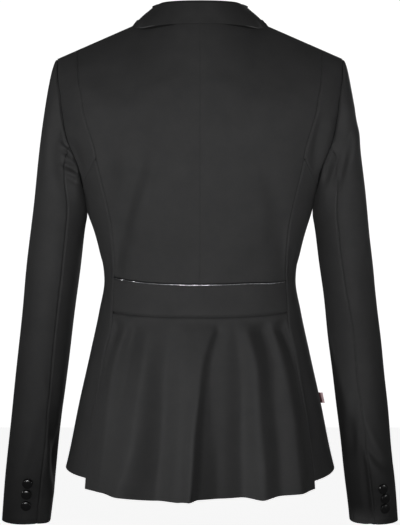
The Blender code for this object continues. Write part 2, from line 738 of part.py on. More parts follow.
# ---------------------------------------------------------------- buttons and tab
def button(name, centre, normal):
    """Domed button with a raised rim, turned from its outline."""
    r = BUTTON_D / 2 * MM
    outline = [(0.0, 0.0), (r * 0.86, 0.0), (r, 1.4 * MM), (r * 0.84, 2.9 * MM), (r * 0.6, 2.5 * MM), (0.0, 2.8 * MM)]
    bm = bmesh.new()
    turns = 14
    rings = []
    for rad, h in outline:
        if rad == 0:
            rings.append([bm.verts.new((0, 0, h))])
        else:
            rings.append(
                [
                    bm.verts.new((rad * math.cos(2 * math.pi * k / turns), rad * math.sin(2 * math.pi * k / turns), h))
                    for k in range(turns)
                ]
            )
    for lo, hi in zip(rings, rings[1:]):
        for k in range(turns):
            m = (k + 1) % turns
            if len(lo) == 1:
                bm.faces.new((lo[0], hi[m], hi[k]))
            elif len(hi) == 1:
                bm.faces.new((lo[k], lo[m], hi[0]))
            else:
                bm.faces.new((lo[k], lo[m], hi[m], hi[k]))
    bmesh.ops.recalc_face_normals(bm, faces=bm.faces)
    mesh = bpy.data.meshes.new(name)
    bm.to_mesh(mesh)
    bm.free()
    z = unit(np.array(normal))
    x = unit(np.cross(np.array([0.0, 0.0, 1.0]), z))
    o = placed(name, mesh, BLACK_GLOSS)
    o.location = Vector(centre)
    o.rotation_euler = Matrix((x, np.cross(z, x), z)).transposed().to_euler()


for i, z in enumerate(FRONT_BUTTONS):
    p = on_body(0.0, z * MM, True, -0.9 * MM)
    slope = (on_body(0.0, z * MM + 0.005, True)[1] - on_body(0.0, z * MM - 0.005, True)[1]) / 0.01
    button(f"front_button_{i + 1}", p, (0.0, 1.0, -slope))

for side in (1, -1):
    for i, (z, a) in enumerate(CUFF_BUTTONS[side]):
        a = math.radians(a)
        p = sleeve_ring(z * MM, a, -1.6 * MM)
        du = sleeve_ring(z * MM, a + 0.02, 0) - sleeve_ring(z * MM, a - 0.02, 0)
        dz = sleeve_ring(z * MM + 0.005, a, 0) - sleeve_ring(z * MM - 0.005, a, 0)
        nrm = np.cross(dz, du)
        if nrm[1] > 0:
            nrm = -nrm
        button(
            f"cuff_button_{side_name(side)}_{i + 1}",
            p * np.array([side, 1, 1]),
            nrm * np.array([side, 1, 1]),
        )

# Plain tab in the right side seam.
tab = []
for dy in (-0.45 * MM, 0.45 * MM):
    grid = np.zeros((2, 2, 3))
    for i, z in enumerate((-0.5235, -0.5090)):
        for j, out in enumerate((0.4 * MM, 6.2 * MM)):
            p = body(SIDE_SEAM, z)
            grid[i, j] = p + np.array([out, dy - out * 0.25, 0.0])
    tab.append(grid)
wall("side_tab", *tab, TAB_CLOTH)
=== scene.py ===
"""Looks of the women's equestrian show jacket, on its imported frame.

+Z is up, the back of the jacket faces -Y and the wearer's right is +X. Lengths in
the tables are millimetres; the scene is in metres.
"""

import math

import bpy
import numpy as np
from mathutils import Matrix, Vector


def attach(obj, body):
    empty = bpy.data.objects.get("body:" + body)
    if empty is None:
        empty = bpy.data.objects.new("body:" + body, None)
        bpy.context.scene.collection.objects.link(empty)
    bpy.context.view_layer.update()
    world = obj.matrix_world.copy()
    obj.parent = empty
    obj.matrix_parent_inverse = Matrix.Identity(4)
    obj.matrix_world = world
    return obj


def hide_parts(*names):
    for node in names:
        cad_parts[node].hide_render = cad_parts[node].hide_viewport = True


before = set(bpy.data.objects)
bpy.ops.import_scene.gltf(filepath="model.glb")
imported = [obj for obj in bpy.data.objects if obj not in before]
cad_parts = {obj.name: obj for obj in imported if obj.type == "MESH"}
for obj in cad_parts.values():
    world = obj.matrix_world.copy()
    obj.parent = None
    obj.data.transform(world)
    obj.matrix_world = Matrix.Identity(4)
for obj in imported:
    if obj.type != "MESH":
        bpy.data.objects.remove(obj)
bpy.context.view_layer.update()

MM = 0.001
CLOTH = 1.5 * MM
COLLAR_CLOTH = 2.0 * MM
SEAM = 0.15 * MM
LAPEL_GAP = 3.1 * MM
LAP = 7.8 * MM

# ---------------------------------------------------------------- tables of the form
BODY = np.array(
    [
        # z, half_width, back, front, n_back, n_front
        (-660.0, 203.0, 140.0, 136.0, 2.2, 2.2),
        (-608.5, 188.0, 130.0, 127.0, 2.2, 2.2),
        (-517.5, 169.0, 117.0, 118.0, 2.25, 2.2),
        (-447.5, 153.0, 103.0, 110.0, 2.3, 2.2),
        (-391.5, 141.0, 91.0, 101.0, 2.3, 2.2),
        (-349.5, 134.0, 86.0, 96.0, 2.3, 2.2),
        (-307.5, 141.0, 92.0, 104.0, 2.3, 2.2),
        (-265.5, 152.0, 101.0, 117.0, 2.35, 2.15),
        (-222.0, 164.5, 109.0, 127.0, 2.4, 2.15),
        (-180.0, 186.0, 114.0, 125.0, 2.5, 2.2),
        (-140.0, 200.0, 115.0, 112.0, 2.5, 2.3),
        (-95.0, 207.0, 110.0, 93.0, 2.5, 2.3),
    ]
)
TOP_V = -0.020
SHOULDER_X = 0.200
SHOULDER_Y = -0.006
SHOULDER_DROP = 0.436
NECK_X, NECK_BACK, NECK_FRONT = 0.073, 0.062, 0.074
NECK_Z, NECK_BACK_DIP, NECK_FRONT_DIP = 0.0137, 0.0035, 0.085
NECK_ROUND = 0.9

ARMHOLE_BACK = np.array(
    [
        (-232.0, 161.6), (-214.0, 162.7), (-193.0, 167.0), (-180.0, 172.0),
        (-155.0, 182.4), (-133.0, 186.7), (-114.0, 189.8), (-94.0, 192.3),
        (-71.0, 196.6), (-40.0, 198.5),
    ]
)
ARMHOLE_FRONT = np.array(
    [
        (-232.0, 161.6), (-205.0, 162.5), (-180.0, 168.0), (-155.0, 176.0),
        (-133.0, 180.5), (-94.0, 187.0), (-71.0, 193.0), (-40.0, 198.5),
    ]
)
INSERT = np.array(
    [
        (-180.0, 141.2), (-164.0, 144.5), (-149.0, 149.3), (-130.0, 155.0),
        (-115.0, 159.0), (-98.0, 161.4), (-72.0, 166.0), (-30.0, 169.7),
    ]
)
INSERT_FOOT = np.array([(-222.0, 161.6), (-216.0, 159.9), (-196.0, 150.0), (-180.0, 141.2)])
PRINCESS = np.array(
    [
        (-660.0, 159.0), (-628.0, 157.5), (-610.0, 156.4), (-537.0, 146.5),
        (-490.0, 138.4), (-441.0, 129.8), (-415.0, 123.3), (-393.0, 121.1),
        (-385.0, 120.7), (-344.0, 119.4), (-316.0, 119.6), (-293.0, 120.4),
        (-272.0, 122.2), (-242.0, 127.7), (-218.0, 133.4), (-187.0, 140.2),
        (-180.0, 141.2),
    ]
)
FRONT_EDGE = np.array(
    [
        (-610.0, 50.0), (-603.0, 30.0), (-590.0, 16.0), (-570.0, 5.0),
        (-530.0, -6.0), (-490.0, -12.0), (-450.0, -14.5), (-400.0, -15.0),
        (-215.0, -15.0), (-205.0, -12.0), (-58.0, 39.0),
    ]
)
SIDE_SEAM = math.radians(93.0)
HEM, UNDERARM = -0.610, -0.232
BAND_TOP, BAND_FOOT = -344.5, -390.5
BAND_TOP_DIP, BAND_FOOT_DIP = -7.5, -4.3
SKIRT_HEM = -0.629
RIGHT_SLUMP = -5.0

# Folds of the back skirt, each a ridge or trough from the band to the hem: x at the
# shares FOLD_SHARE of the way down, how far it stands out there, extra length at the hem.
FOLD_SHARE = np.array([0.08, 0.2, 0.5, 0.75, 1.0])
SKIRT_FOLDS = np.array(
    [
        (-114, -121, -133, -139, -144, -8.0, -2.0, 3.0, 3.0, 3.0, 0.0),
        (-104, -113, -126, -132, -138, 3.0, 7.0, 9.0, 8.0, 7.0, 0.0),
        (-88, -95, -108, -120, -131, -7.0, -4.0, 3.0, 6.0, 8.0, 0.0),
        (-70, -75, -83, -93, -113, 5.0, 11.0, 17.0, 20.0, 22.0, 1.5),
        (-41, -45, -48, -53, -58, 1.0, -0.5, -3.0, -4.5, -5.5, 6.0),
        (-21, -22, -23, -26, -29, 5.0, 8.0, 13.0, 18.0, 23.0, 3.0),
        (16, 6, -3, -9, -14, 6.0, 13.0, 25.0, 34.0, 41.0, 0.0),
        (25, 15, 7, 2, -2, -3.0, 2.0, 9.0, 12.5, 15.0, 0.0),
        (38, 34, 30, 29, 28, 3.0, 4.5, 5.0, 5.0, 5.0, 0.0),
        (49, 54, 56, 57, 57, 1.0, 0.0, -3.0, -4.5, -5.0, 1.0),
        (64, 72, 79, 83, 86, 7.0, 11.0, 15.0, 19.0, 22.0, 3.0),
        (84, 91, 99, 105, 110, -12.0, -8.0, 3.0, 8.0, 12.0, 0.0),
        (99, 110, 125, 133, 139, 1.0, 5.0, 13.0, 18.0, 21.0, 0.0),
        (112, 124, 138, 147, 152, -13.0, -9.0, -2.0, 2.0, 3.0, 0.0),
    ]
)
HEM_DIP = 4.0

SLEEVE = np.array(
    [
        (-694.5, 249.0, 34.7, 39.0, 42.8),
        (-688.0, 248.3, 34.8, 38.0, 43.0),
        (-657.5, 244.8, 35.3, 33.0, 44.0),
        (-587.0, 236.2, 35.7, 21.0, 46.5),
        (-517.5, 228.0, 36.1, 11.0, 49.5),
        (-447.0, 218.9, 36.4, 4.0, 52.0),
        (-377.5, 210.5, 36.6, -1.0, 54.5),
        (-320.0, 203.5, 37.5, -3.0, 56.5),
        (-265.5, 197.0, 38.0, -4.0, 58.0),
    ]
)
CUFF, CAP = -0.6945, -0.2655
ELBOW = {
    -1: np.array([(-697, 121.3), (-560, 120.4), (-490, 118.9), (-420, 117.0), (-355, 116.5), (-265, 113.5)]),
    1: np.array([(-697, 92.5), (-630, 95.0), (-560, 96.5), (-510, 100.0), (-420, 98.0), (-350, 105.0), (-265, 106.0)]),
}
INNER_SEAM = 232.0

COLLAR = np.array(
    [
        # psi, rise, lean, edge_x, edge_z
        (0.0, 23.3, 7.5, 0.0, 2.0),
        (22.0, 23.2, 7.4, 36.0, 2.0),
        (33.5, 23.0, 8.2, 52.0, 1.8),
        (45.0, 22.7, 10.3, 65.0, 1.2),
        (64.0, 21.4, 15.8, 81.0, -0.2),
        (80.0, 19.8, 18.8, 89.5, 0.6),
        (92.0, 18.6, 18.4, 94.0, 3.2),
        (104.0, 19.2, 16.5, 99.0, -5.0),
        (116.0, 20.0, 12.5, 103.0, -20.0),
        (128.0, 18.0, 8.0, 104.0, -37.0),
        (138.0, 13.0, 4.5, 101.5, -50.0),
        (147.0, 6.5, 2.0, 97.0, -58.0),
    ]
)
STAND_SHARE = 0.55

LAPEL = np.array(
    [
        # roll_x, roll_z, edge_x, edge_z
        (41.0, -60.5, 108.0, -85.0),
        (38.5, -68.5, 107.5, -92.0),
        (35.2, -77.5, 105.5, -102.0),
        (31.5, -88.0, 102.0, -113.0),
        (21.0, -117.0, 88.5, -141.0),
        (11.0, -146.0, 66.0, -167.0),
        (1.0, -175.0, 34.0, -190.0),
        (-8.0, -200.5, -2.0, -205.0),
    ]
)
NOTCH = (0.6, 12.0)

FRONT_BUTTONS = [-222.0, -286.0, -350.0]
CUFF_BUTTONS = {
    -1: [(-634.0, 90.5), (-650.0, 90.5), (-666.5, 92.0)],
    1: [(-642.0, 68.5), (-656.5, 65.5), (-671.0, 68.0)],
}
BUTTON_D = 14.6

# Creases of the body, seen straight from behind: points (x, z), rise (a trough is
# below 0), reach. They fade out at both ends.
BACK_CREASES = [
    ([(-72, -168), (-84, -206), (-99, -254), (-110, -302), (-122, -338)], -6.0, 13),
    ([(-56, -172), (-68, -214), (-84, -262), (-97, -310)], 3.0, 14),
    ([(-116, -150), (-120, -196), (-118, -240)], -3.2, 14),
    ([(86, -186), (100, -236), (110, -290), (120, -336)], -3.6, 16),
    ([(66, -186), (80, -240), (94, -300)], 1.8, 15),
    ([(-118, -255), (-96, -292), (-70, -322)], -1.2, 10),
    ([(112, -262), (92, -296), (66, -324)], -1.2, 10),
    ([(-150, -62), (-122, -80), (-84, -92)], -2.6, 18),
    ([(150, -60), (120, -78), (82, -92)], -2.6, 18),
    ([(-128, -118), (-96, -136), (-60, -140)], 1.6, 20),
    ([(126, -116), (98, -134), (60, -140)], 1.6, 20),
    ([(-30, -60), (-36, -110), (-30, -165)], 1.0, 20),
    ([(34, -62), (40, -112), (32, -168)], 1.0, 20),
    ([(-20, -40), (-40, -62), (-62, -74)], -1.2, 12),
    ([(26, -44), (44, -66), (66, -82)], -1.2, 12),
]
SIDE_CREASES = [
    ([(-128, -300), (-122, -330), (-118, -352)], -1.9, 7),
    ([(128, -298), (122, -330), (118, -354)], -1.9, 7),
    ([(-138, -318), (-124, -338), (-112, -350)], -1.4, 6),
    ([(138, -320), (124, -340), (112, -352)], -1.4, 6),
    ([(-160, -575), (-150, -520), (-138, -470)], -2.6, 11),
    ([(166, -590), (152, -520), (140, -468)], -3.2, 11),
]
INSERT_CREASES = [
    ([(-176, -150), (-168, -176), (-160, -200)], -2.2, 6),
    ([(-190, -120), (-182, -142), (-172, -160)], 1.4, 6),
    ([(180, -118), (172, -158), (163, -200)], 4.2, 6),
    ([(166, -122), (158, -164), (154, -196)], -3.4, 6),
]
# Creases of the sleeves, seen straight from behind.
SLEEVE_CREASES = {
    -1: [
        ([(-189, -157), (-182, -161), (-173, -167)], -5.0, 3.2),
        ([(-189, -164), (-182, -168), (-173, -173)], 3.6, 3.3),
        ([(-188, -170), (-181, -174), (-172, -179)], -4.2, 3.2),
        ([(-187, -178), (-180, -181), (-170, -187)], 3.2, 3.6),
        ([(-188, -187), (-180, -191), (-167, -198)], -6.0, 3.8),
        ([(-186, -196), (-177, -200), (-166, -207)], 3.6, 4.4),
        ([(-182, -206), (-174, -210), (-165, -217)], -2.4, 4.0),
        ([(-185, -136), (-184, -150), (-183, -160)], -2.6, 4.5),
        ([(-196, -196), (-190, -222), (-184, -256)], 1.2, 9),
        ([(-207, -500), (-202, -530), (-202, -560)], -4.0, 8),
        ([(-204, -552), (-203, -585), (-205, -612), (-210, -640)], -9.5, 8.5),
        ([(-214, -545), (-214, -585), (-217, -630)], 2.8, 5),
        ([(-222, -470), (-212, -500), (-206, -530)], 2.6, 7),
        ([(-226, -575), (-238, -612), (-246, -640)], -2.2, 9),
        ([(-232, -540), (-240, -588), (-250, -624)], 1.7, 10),
        ([(-228, -330), (-222, -376), (-224, -430)], 1.7, 14),
        ([(-206, -300), (-214, -330), (-226, -352)], -1.0, 9),
    ],
    1: [
        ([(182, -168), (176, -190), (170, -214)], -3.4, 4.4),
        ([(190, -172), (184, -196), (176, -222)], 3.0, 4.4),
        ([(198, -172), (192, -200), (186, -226)], -2.6, 5),
        ([(213, -120), (206, -146), (198, -175), (193, -196)], -3.6, 6.5),
        ([(222, -130), (214, -158), (206, -190)], 1.8, 7),
        ([(225, -532), (239, -570), (262, -602)], 3.8, 7),
        ([(225, -556), (237, -588), (251, -604), (266, -611)], -5.6, 6.5),
        ([(231, -590), (243, -609), (258, -624)], 3.0, 6.5),
        ([(222, -560), (228, -600), (233, -640), (243, -716)], -4.0, 4.2),
        ([(213, -505), (212, -550), (212, -600)], -3.4, 6),
        ([(204, -500), (205, -560), (210, -620)], 1.6, 6),
        ([(208, -330), (214, -372), (216, -420)], 1.5, 12),
        ([(222, -330), (230, -350), (240, -362)], -1.2, 8),
        ([(214, -420), (222, -470), (226, -520)], -1.7, 10),
    ],
}
FRONT_CREASES = [
    ([(20, -300), (60, -318), (104, -332)], -1.2, 9),
    ([(-20, -306), (-64, -322), (-108, -334)], -1.2, 9),
    ([(18, -352), (58, -346), (100, -342)], 1.0, 10),
    ([(-18, -352), (-60, -348), (-104, -342)], 1.0, 10),
    ([(150, -190), (118, -214), (84, -226)], -1.3, 11),
    ([(-150, -190), (-118, -214), (-84, -226)], -1.3, 11),
    ([(60, -420), (70, -500), (86, -590)], 1.6, 22),
    ([(-58, -424), (-70, -506), (-88, -592)], 1.6, 22),
    ([(110, -430), (122, -510), (138, -596)], -1.5, 20),
    ([(-110, -430), (-124, -514), (-140, -598)], -1.5, 20),
]


# ---------------------------------------------------------------- the form
def hermite(p0, p1, m0, m1, t):
    return (
        (2 * t**3 - 3 * t**2 + 1) * p0
        + (t**3 - 2 * t**2 + t) * m0
        + (3 * t**2 - 2 * t**3) * p1
        + (t**3 - t**2) * m1
    )


def at(table, key, column=1):
    """Smooth values of a table's column at keys in its first column (rising)."""
    k, c = table[:, 0], table[:, column]
    h = np.diff(k)
    d = np.diff(c) / h
    m = np.empty(len(k))
    m[0], m[-1] = d[0], d[-1]
    m[1:-1] = (d[:-1] * h[1:] + d[1:] * h[:-1]) / (h[1:] + h[:-1])
    key = np.clip(key, k[0], k[-1])
    i = np.clip(np.searchsorted(k, key) - 1, 0, len(k) - 2)
    return hermite(c[i], c[i + 1], m[i] * h[i], m[i + 1] * h[i], (key - k[i]) / h[i])


def smooth(t):
    t = np.clip(t, 0.0, 1.0)
    return t * t * (3 - 2 * t)


def unit(v):
    return v / np.maximum(np.linalg.norm(v, axis=-1, keepdims=True), 1e-12)


def ring(s, front, v, w):
    mm = v / MM
    a = at(BODY, mm, 1) * MM - w
    d = np.where(front, at(BODY, mm, 3), at(BODY, mm, 2)) * MM - w
    n = np.where(front, at(BODY, mm, 5), at(BODY, mm, 4))
    y = d * np.maximum(1 - np.abs(s) ** n, 0.0) ** (1 / n)
    return np.stack([a * s, np.where(front, y, -y), v + 0 * s], axis=-1)


def top_line(s, front, w):
    x = np.abs(s) * (SHOULDER_X - w)
    neck = NECK_X * (1 - w / SHOULDER_X)
    c = np.maximum(1 - (x / neck) ** 2, 0.0) ** NECK_ROUND
    y = SHOULDER_Y + c * np.where(front, NECK_FRONT - w, w - NECK_BACK)
    z = NECK_Z - c * np.where(front, NECK_FRONT_DIP, NECK_BACK_DIP)
    z = np.where(x >= neck, NECK_Z - (x - neck) * SHOULDER_DROP, z)
    return np.stack([np.copysign(x, s), y, z - w], axis=-1)


def body(angle, v, w=0.0):
    """Points of the body cloth; angle 0 is the centre back, 180 degrees the centre front.

    The bend from the shoulder blades into the shoulders is eased, as cloth does it.
    """
    angle, v, w = (np.array(k) for k in np.broadcast_arrays(angle * 1.0, v * 1.0, w * 1.0))
    made = bare(angle, v, w)
    ease = smooth((TOP_V - v) / 0.055) * smooth((v + 0.240) / 0.08)
    near = ease > 0
    if not near.any():
        return made
    a, h, u, k = angle[near], v[near], w[near], ease[near]
    total, weight = 0.0, 0.0
    for dv in (-38, -20, 0, 20, 38):
        for da in (-0.14, -0.07, 0.0, 0.07, 0.14):
            share = math.exp(-((dv / 30) ** 2) - (da / 0.12) ** 2)
            total = total + share * bare(a + da * k, h + dv * MM * k, u)
            weight += share
    made[near] = total / weight
    return made


def bare(angle, v, w):
    s, front = np.sin(angle), np.cos(angle) < 0
    base = np.full_like(v, BODY[-1, 0] * MM)
    low = ring(s, front, np.minimum(v, base), w)
    span = TOP_V - BODY[-1, 0] * MM
    p0, p1 = ring(s, front, base, w), top_line(s, front, w)
    m0 = (p0 - ring(s, front, base - 0.004, w)) / 0.004 * span
    k = smooth(2 * np.maximum(0.0, 1 - np.abs(s) * SHOULDER_X / NECK_X))
    flat = 0.050 - 0.030 * k
    m1 = np.stack([0 * s, np.where(front, -flat, flat), 0.020 + 0.030 * k], axis=-1)
    high = hermite(p0, p1, m0, m1, np.clip((v - base) / span, 0, 1)[..., None])
    return np.where((v <= base)[..., None], low, high)


def angle_at(table, v, front):
    """Angles at which a seam, given as x by height, crosses the levels v."""
    v = np.atleast_1d(np.asarray(v, float))
    lo, hi = np.full(v.shape, -0.12), np.full(v.shape, math.pi / 2)
    for _ in range(27):
        mid = (lo + hi) / 2
        p = body(math.pi - mid if front else mid, v)
        less = p[:, 0] < at(table, p[:, 2] / MM) * MM
        lo, hi = np.where(less, mid, lo), np.where(less, hi, mid)
    return math.pi - lo if front else lo


def on_body(x, z, front, w=0.0):
    """Points of the body cloth at x and z, moved out by -w."""
    x, z = np.broadcast_arrays(np.asarray(x, float), np.asarray(z, float))
    lo, hi = np.full(x.shape, BODY[0, 0] * MM), np.full(x.shape, TOP_V)
    for _ in range(27):
        mid = (lo + hi) / 2
        half = np.abs(bare(np.full(x.shape, math.pi / 2), mid, np.full(x.shape, w * 1.0))[..., 0])
        a = np.arcsin(np.clip(x / half, -1, 1))
        p = body(math.pi - a if front else a, mid, w)
        less = p[..., 2] < z
        lo, hi = np.where(less, mid, lo), np.where(less, hi, mid)
    return p


# ---------------------------------------------------------------- cloth
NEAR_SEAM = np.array([0.0, 0.45, 1.0, 1.8, 3.0]) * MM


def levels(lo, hi, step):
    """Levels from lo to hi, closer together at both ends."""
    n = max(int(round((hi - lo - 2 * NEAR_SEAM[-1]) / step)), 1)
    mid = np.linspace(lo + NEAR_SEAM[-1], hi - NEAR_SEAM[-1], n + 1)[1:-1]
    return np.concatenate([lo + NEAR_SEAM, mid, hi - NEAR_SEAM[::-1]])


def columns(width, n):
    """For rows of these widths, n even steps across, closer together at both seams."""
    width = np.maximum(np.asarray(width, float), 1e-5)[:, None]
    near = NEAR_SEAM[None] * np.minimum(1, 0.3 * width / NEAR_SEAM[-1]) / width
    inside = near[:, -1:] + (1 - 2 * near[:, -1:]) * np.linspace(0, 1, n + 1)[None, 1:-1]
    return np.concatenate([near, inside, 1 - near[:, ::-1]], axis=1)


def lengths(grid, axis):
    """Distance along the cloth from the first row or column."""
    d = np.linalg.norm(np.diff(grid, axis=axis), axis=-1)
    pad = [(0, 0), (0, 0)]
    pad[axis] = (1, 0)
    return np.pad(np.cumsum(d, axis=axis), pad)


def normals(grid, out):
    """Normals of a grid of points; out is a point inside, which they face away from."""
    n = unit(np.cross(np.gradient(grid, axis=0), np.gradient(grid, axis=1)))
    towards = ((grid - out) * n).sum(axis=-1)
    return n if towards.mean() > 0 else -n


def wavy(s, seed):
    """Uneven ripple along a length, about -1 to 1."""
    return (
        np.sin(s * 1.0 + seed) + np.sin(s * 0.618 + 2.1 * seed) + np.sin(s * 1.71 + 0.7 * seed)
    ) / 3


def crease(x, z, points, rise, reach):
    """Ridge or trough along a path in the x and z plane, fading at its ends."""
    pts = np.array(points, float) * MM
    seg = np.diff(pts, axis=0)
    run = np.concatenate([[0], np.cumsum(np.linalg.norm(seg, axis=1))])
    best, along = np.full(x.shape, 1e9), np.zeros(x.shape)
    for a, d, r0, r1 in zip(pts, seg, run, run[1:]):
        t = np.clip(((x - a[0]) * d[0] + (z - a[1]) * d[1]) / (d @ d), 0, 1)
        far = np.hypot(x - a[0] - t * d[0], z - a[1] - t * d[1])
        near = far < best
        best = np.where(near, far, best)
        along = np.where(near, (r0 + t * (r1 - r0)) / run[-1], along)
    fade = np.clip(np.sin(math.pi * (0.04 + 0.92 * along)), 0, 1) ** 0.8
    return rise * MM * fade * np.exp(-((best / (reach * MM)) ** 2))


def creased(grid, table, facing):
    """Sum of creases on the part of a grid that faces behind (-1) or to the front (1)."""
    total = np.zeros(grid.shape[:2])
    for points, rise, reach in table:
        total += crease(grid[..., 0], grid[..., 2], points, rise, reach)
    return total * facing


def sew(grid, n, depths, seed=0.0):
    """Sinks the edges of a grid into their seams, with a slight pucker beside them.

    depths are for the left, right, first-row and last-row edges, in millimetres.
    """
    along, across = lengths(grid, 0), lengths(grid, 1)
    sides = (
        (across, along, depths[0]),
        (across[:, -1:] - across, along, depths[1]),
        (along, across, depths[2]),
        (along[-1:] - along, across, depths[3]),
    )
    sink = np.zeros(grid.shape[:2])
    for k, (d, s, depth) in enumerate(sides):
        if depth:
            sink += depth * MM * np.exp(-((d / ((0.85 + 0.3 * depth) * MM)) ** 2))
            ripple = wavy(s / (3.1 * MM), seed + 1.3 * k) + 0.6 * wavy(s / (7.3 * MM), seed + k)
            sink += 0.13 * MM * depth * ripple * np.exp(-((d - 2.2 * MM) / (2.6 * MM)) ** 2)
    return grid - n * sink[..., None]


def stand_back(grid, gap=SEAM, sides="ablr"):
    g = grid.copy()

    def step(edge, inside):
        d = inside - edge
        return edge + d / np.maximum(np.linalg.norm(d, axis=-1, keepdims=True), 1e-9) * gap

    if "a" in sides:
        g[0] = step(g[0], g[1])
    if "b" in sides:
        g[-1] = step(g[-1], g[-2])
    if "l" in sides:
        g[:, 0] = step(g[:, 0], g[:, 1])
    if "r" in sides:
        g[:, -1] = step(g[:, -1], g[:, -2])
    return g


def new_object(name, verts, faces, material, uv=None, smooth_angle=None):
    mesh = bpy.data.meshes.new(name)
    mesh.from_pydata([tuple(p) for p in verts], [], [tuple(f) for f in faces])
    mesh.materials.append(material)
    mesh.shade_smooth()
    if smooth_angle:
        mesh.set_sharp_from_angle(angle=math.radians(smooth_angle))
    if uv is not None:
        layer = mesh.uv_layers.new(name="flat")
        index = np.empty(len(mesh.loops), dtype=np.int32)
        mesh.loops.foreach_get("vertex_index", index)
        layer.data.foreach_set("uv", np.asarray(uv, np.float32)[index].ravel())
    mesh.validate()
    o = bpy.data.objects.new(name, mesh)
    bpy.context.scene.collection.objects.link(o)
    return o


def shell(name, outer, n, material, thick=CLOTH, round_edge=0.32):
    """Closed cloth wall on an outer face: inner face set in by the cloth, soft edges."""
    rows, cols = outer.shape[:2]
    inner = outer - n * thick
    rim = (
        [(0, c) for c in range(cols)]
        + [(r, cols - 1) for r in range(1, rows)]
        + [(rows - 1, c) for c in range(cols - 2, -1, -1)]
        + [(r, 0) for r in range(rows - 2, 0, -1)]
    )
    rr, cc = np.array(rim).T
    ri, ci = np.clip(rr, 1, rows - 2), np.clip(cc, 1, cols - 2)
    away = unit(outer[rr, cc] - outer[ri, ci])
    edge = (outer[rr, cc] + inner[rr, cc]) / 2 + away * thick * round_edge
    verts = np.concatenate([outer.reshape(-1, 3), inner.reshape(-1, 3), edge])
    i = np.arange(rows * cols).reshape(rows, cols)
    quad = np.stack([i[:-1, :-1], i[:-1, 1:], i[1:, 1:], i[1:, :-1]], axis=-1).reshape(-1, 4)
    a, b = rr * cols + cc, rr * cols + cc + rows * cols
    m = 2 * rows * cols + np.arange(len(rim))
    faces = [quad, quad[:, ::-1] + rows * cols]
    faces.append(np.stack([a, m, np.roll(m, -1), np.roll(a, -1)], axis=-1))
    faces.append(np.stack([m, b, np.roll(b, -1), np.roll(m, -1)], axis=-1))
    faces = np.concatenate(faces)
    p = verts[quad[len(quad) // 2]]
    facing = np.cross(p[1] - p[0], p[2] - p[0]) @ n.reshape(-1, 3)[quad[len(quad) // 2][0]]
    if facing < 0:
        faces = faces[:, ::-1]
    flat = np.stack([lengths(outer, 1), lengths(outer, 0)], axis=-1).reshape(-1, 2)
    flat = np.concatenate([flat, flat, flat[a]])
    return new_object(name, verts, faces, material, flat)


def cord(name, line, tall, deep, material, facing=None):
    """Round cord along a line, with its half height and half depth at each point."""
    along = unit(np.gradient(line, axis=0))
    if facing is None:
        out = unit(np.cross(along, np.array([0.0, 0.0, 1.0])))
    else:
        out = unit(facing - along * (facing * along).sum(axis=-1, keepdims=True))
    up = np.cross(out, along)
    b = np.linspace(0, 2 * math.pi, 11)[:-1]
    verts = line[:, None] + out[:, None] * (np.cos(b)[None] * deep[:, None])[..., None] + up[:, None] * (np.sin(b)[None] * tall[:, None])[..., None]
    i = np.arange(len(line) * 10).reshape(-1, 10)
    j = np.roll(i, -1, axis=1)
    faces = [tuple(k) for k in np.stack([i[:-1], j[:-1], j[1:], i[1:]], axis=-1).reshape(-1, 4)]
    faces += [tuple(i[0, ::-1]), tuple(i[-1])]
    p = verts[0, 0], verts[0, 1], verts[1, 1]
    if np.cross(p[1] - p[0], p[2] - p[0]) @ (p[0] - line[0]) < 0:
        faces = [k[::-1] for k in faces]
    run = np.repeat(lengths(line[:, None], 0), 10, axis=1)
    flat = np.stack([b[None] * tall[:, None], run], axis=-1).reshape(-1, 2)
    return new_object(name, verts.reshape(-1, 3), faces, material, flat)


def cloth(name, outer, n, material, thick=CLOTH):
    """A cloth piece that stands for its solid, with the size that it was cut to."""
    o = shell(name + "_cloth", outer, n, material, thick)
    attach(o, "root")
    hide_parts(name)
    return o


# ---------------------------------------------------------------- materials
def nodes_of(name):
    m = bpy.data.materials.new(name)
    m.use_nodes = True
    tree = m.node_tree
    return m, tree, tree.nodes["Principled BSDF"]


def add(tree, kind, **values):
    node = tree.nodes.new(kind)
    for key, value in values.items():
        if key in node.inputs:
            node.inputs[key].default_value = value
        else:
            setattr(node, key, value)
    return node


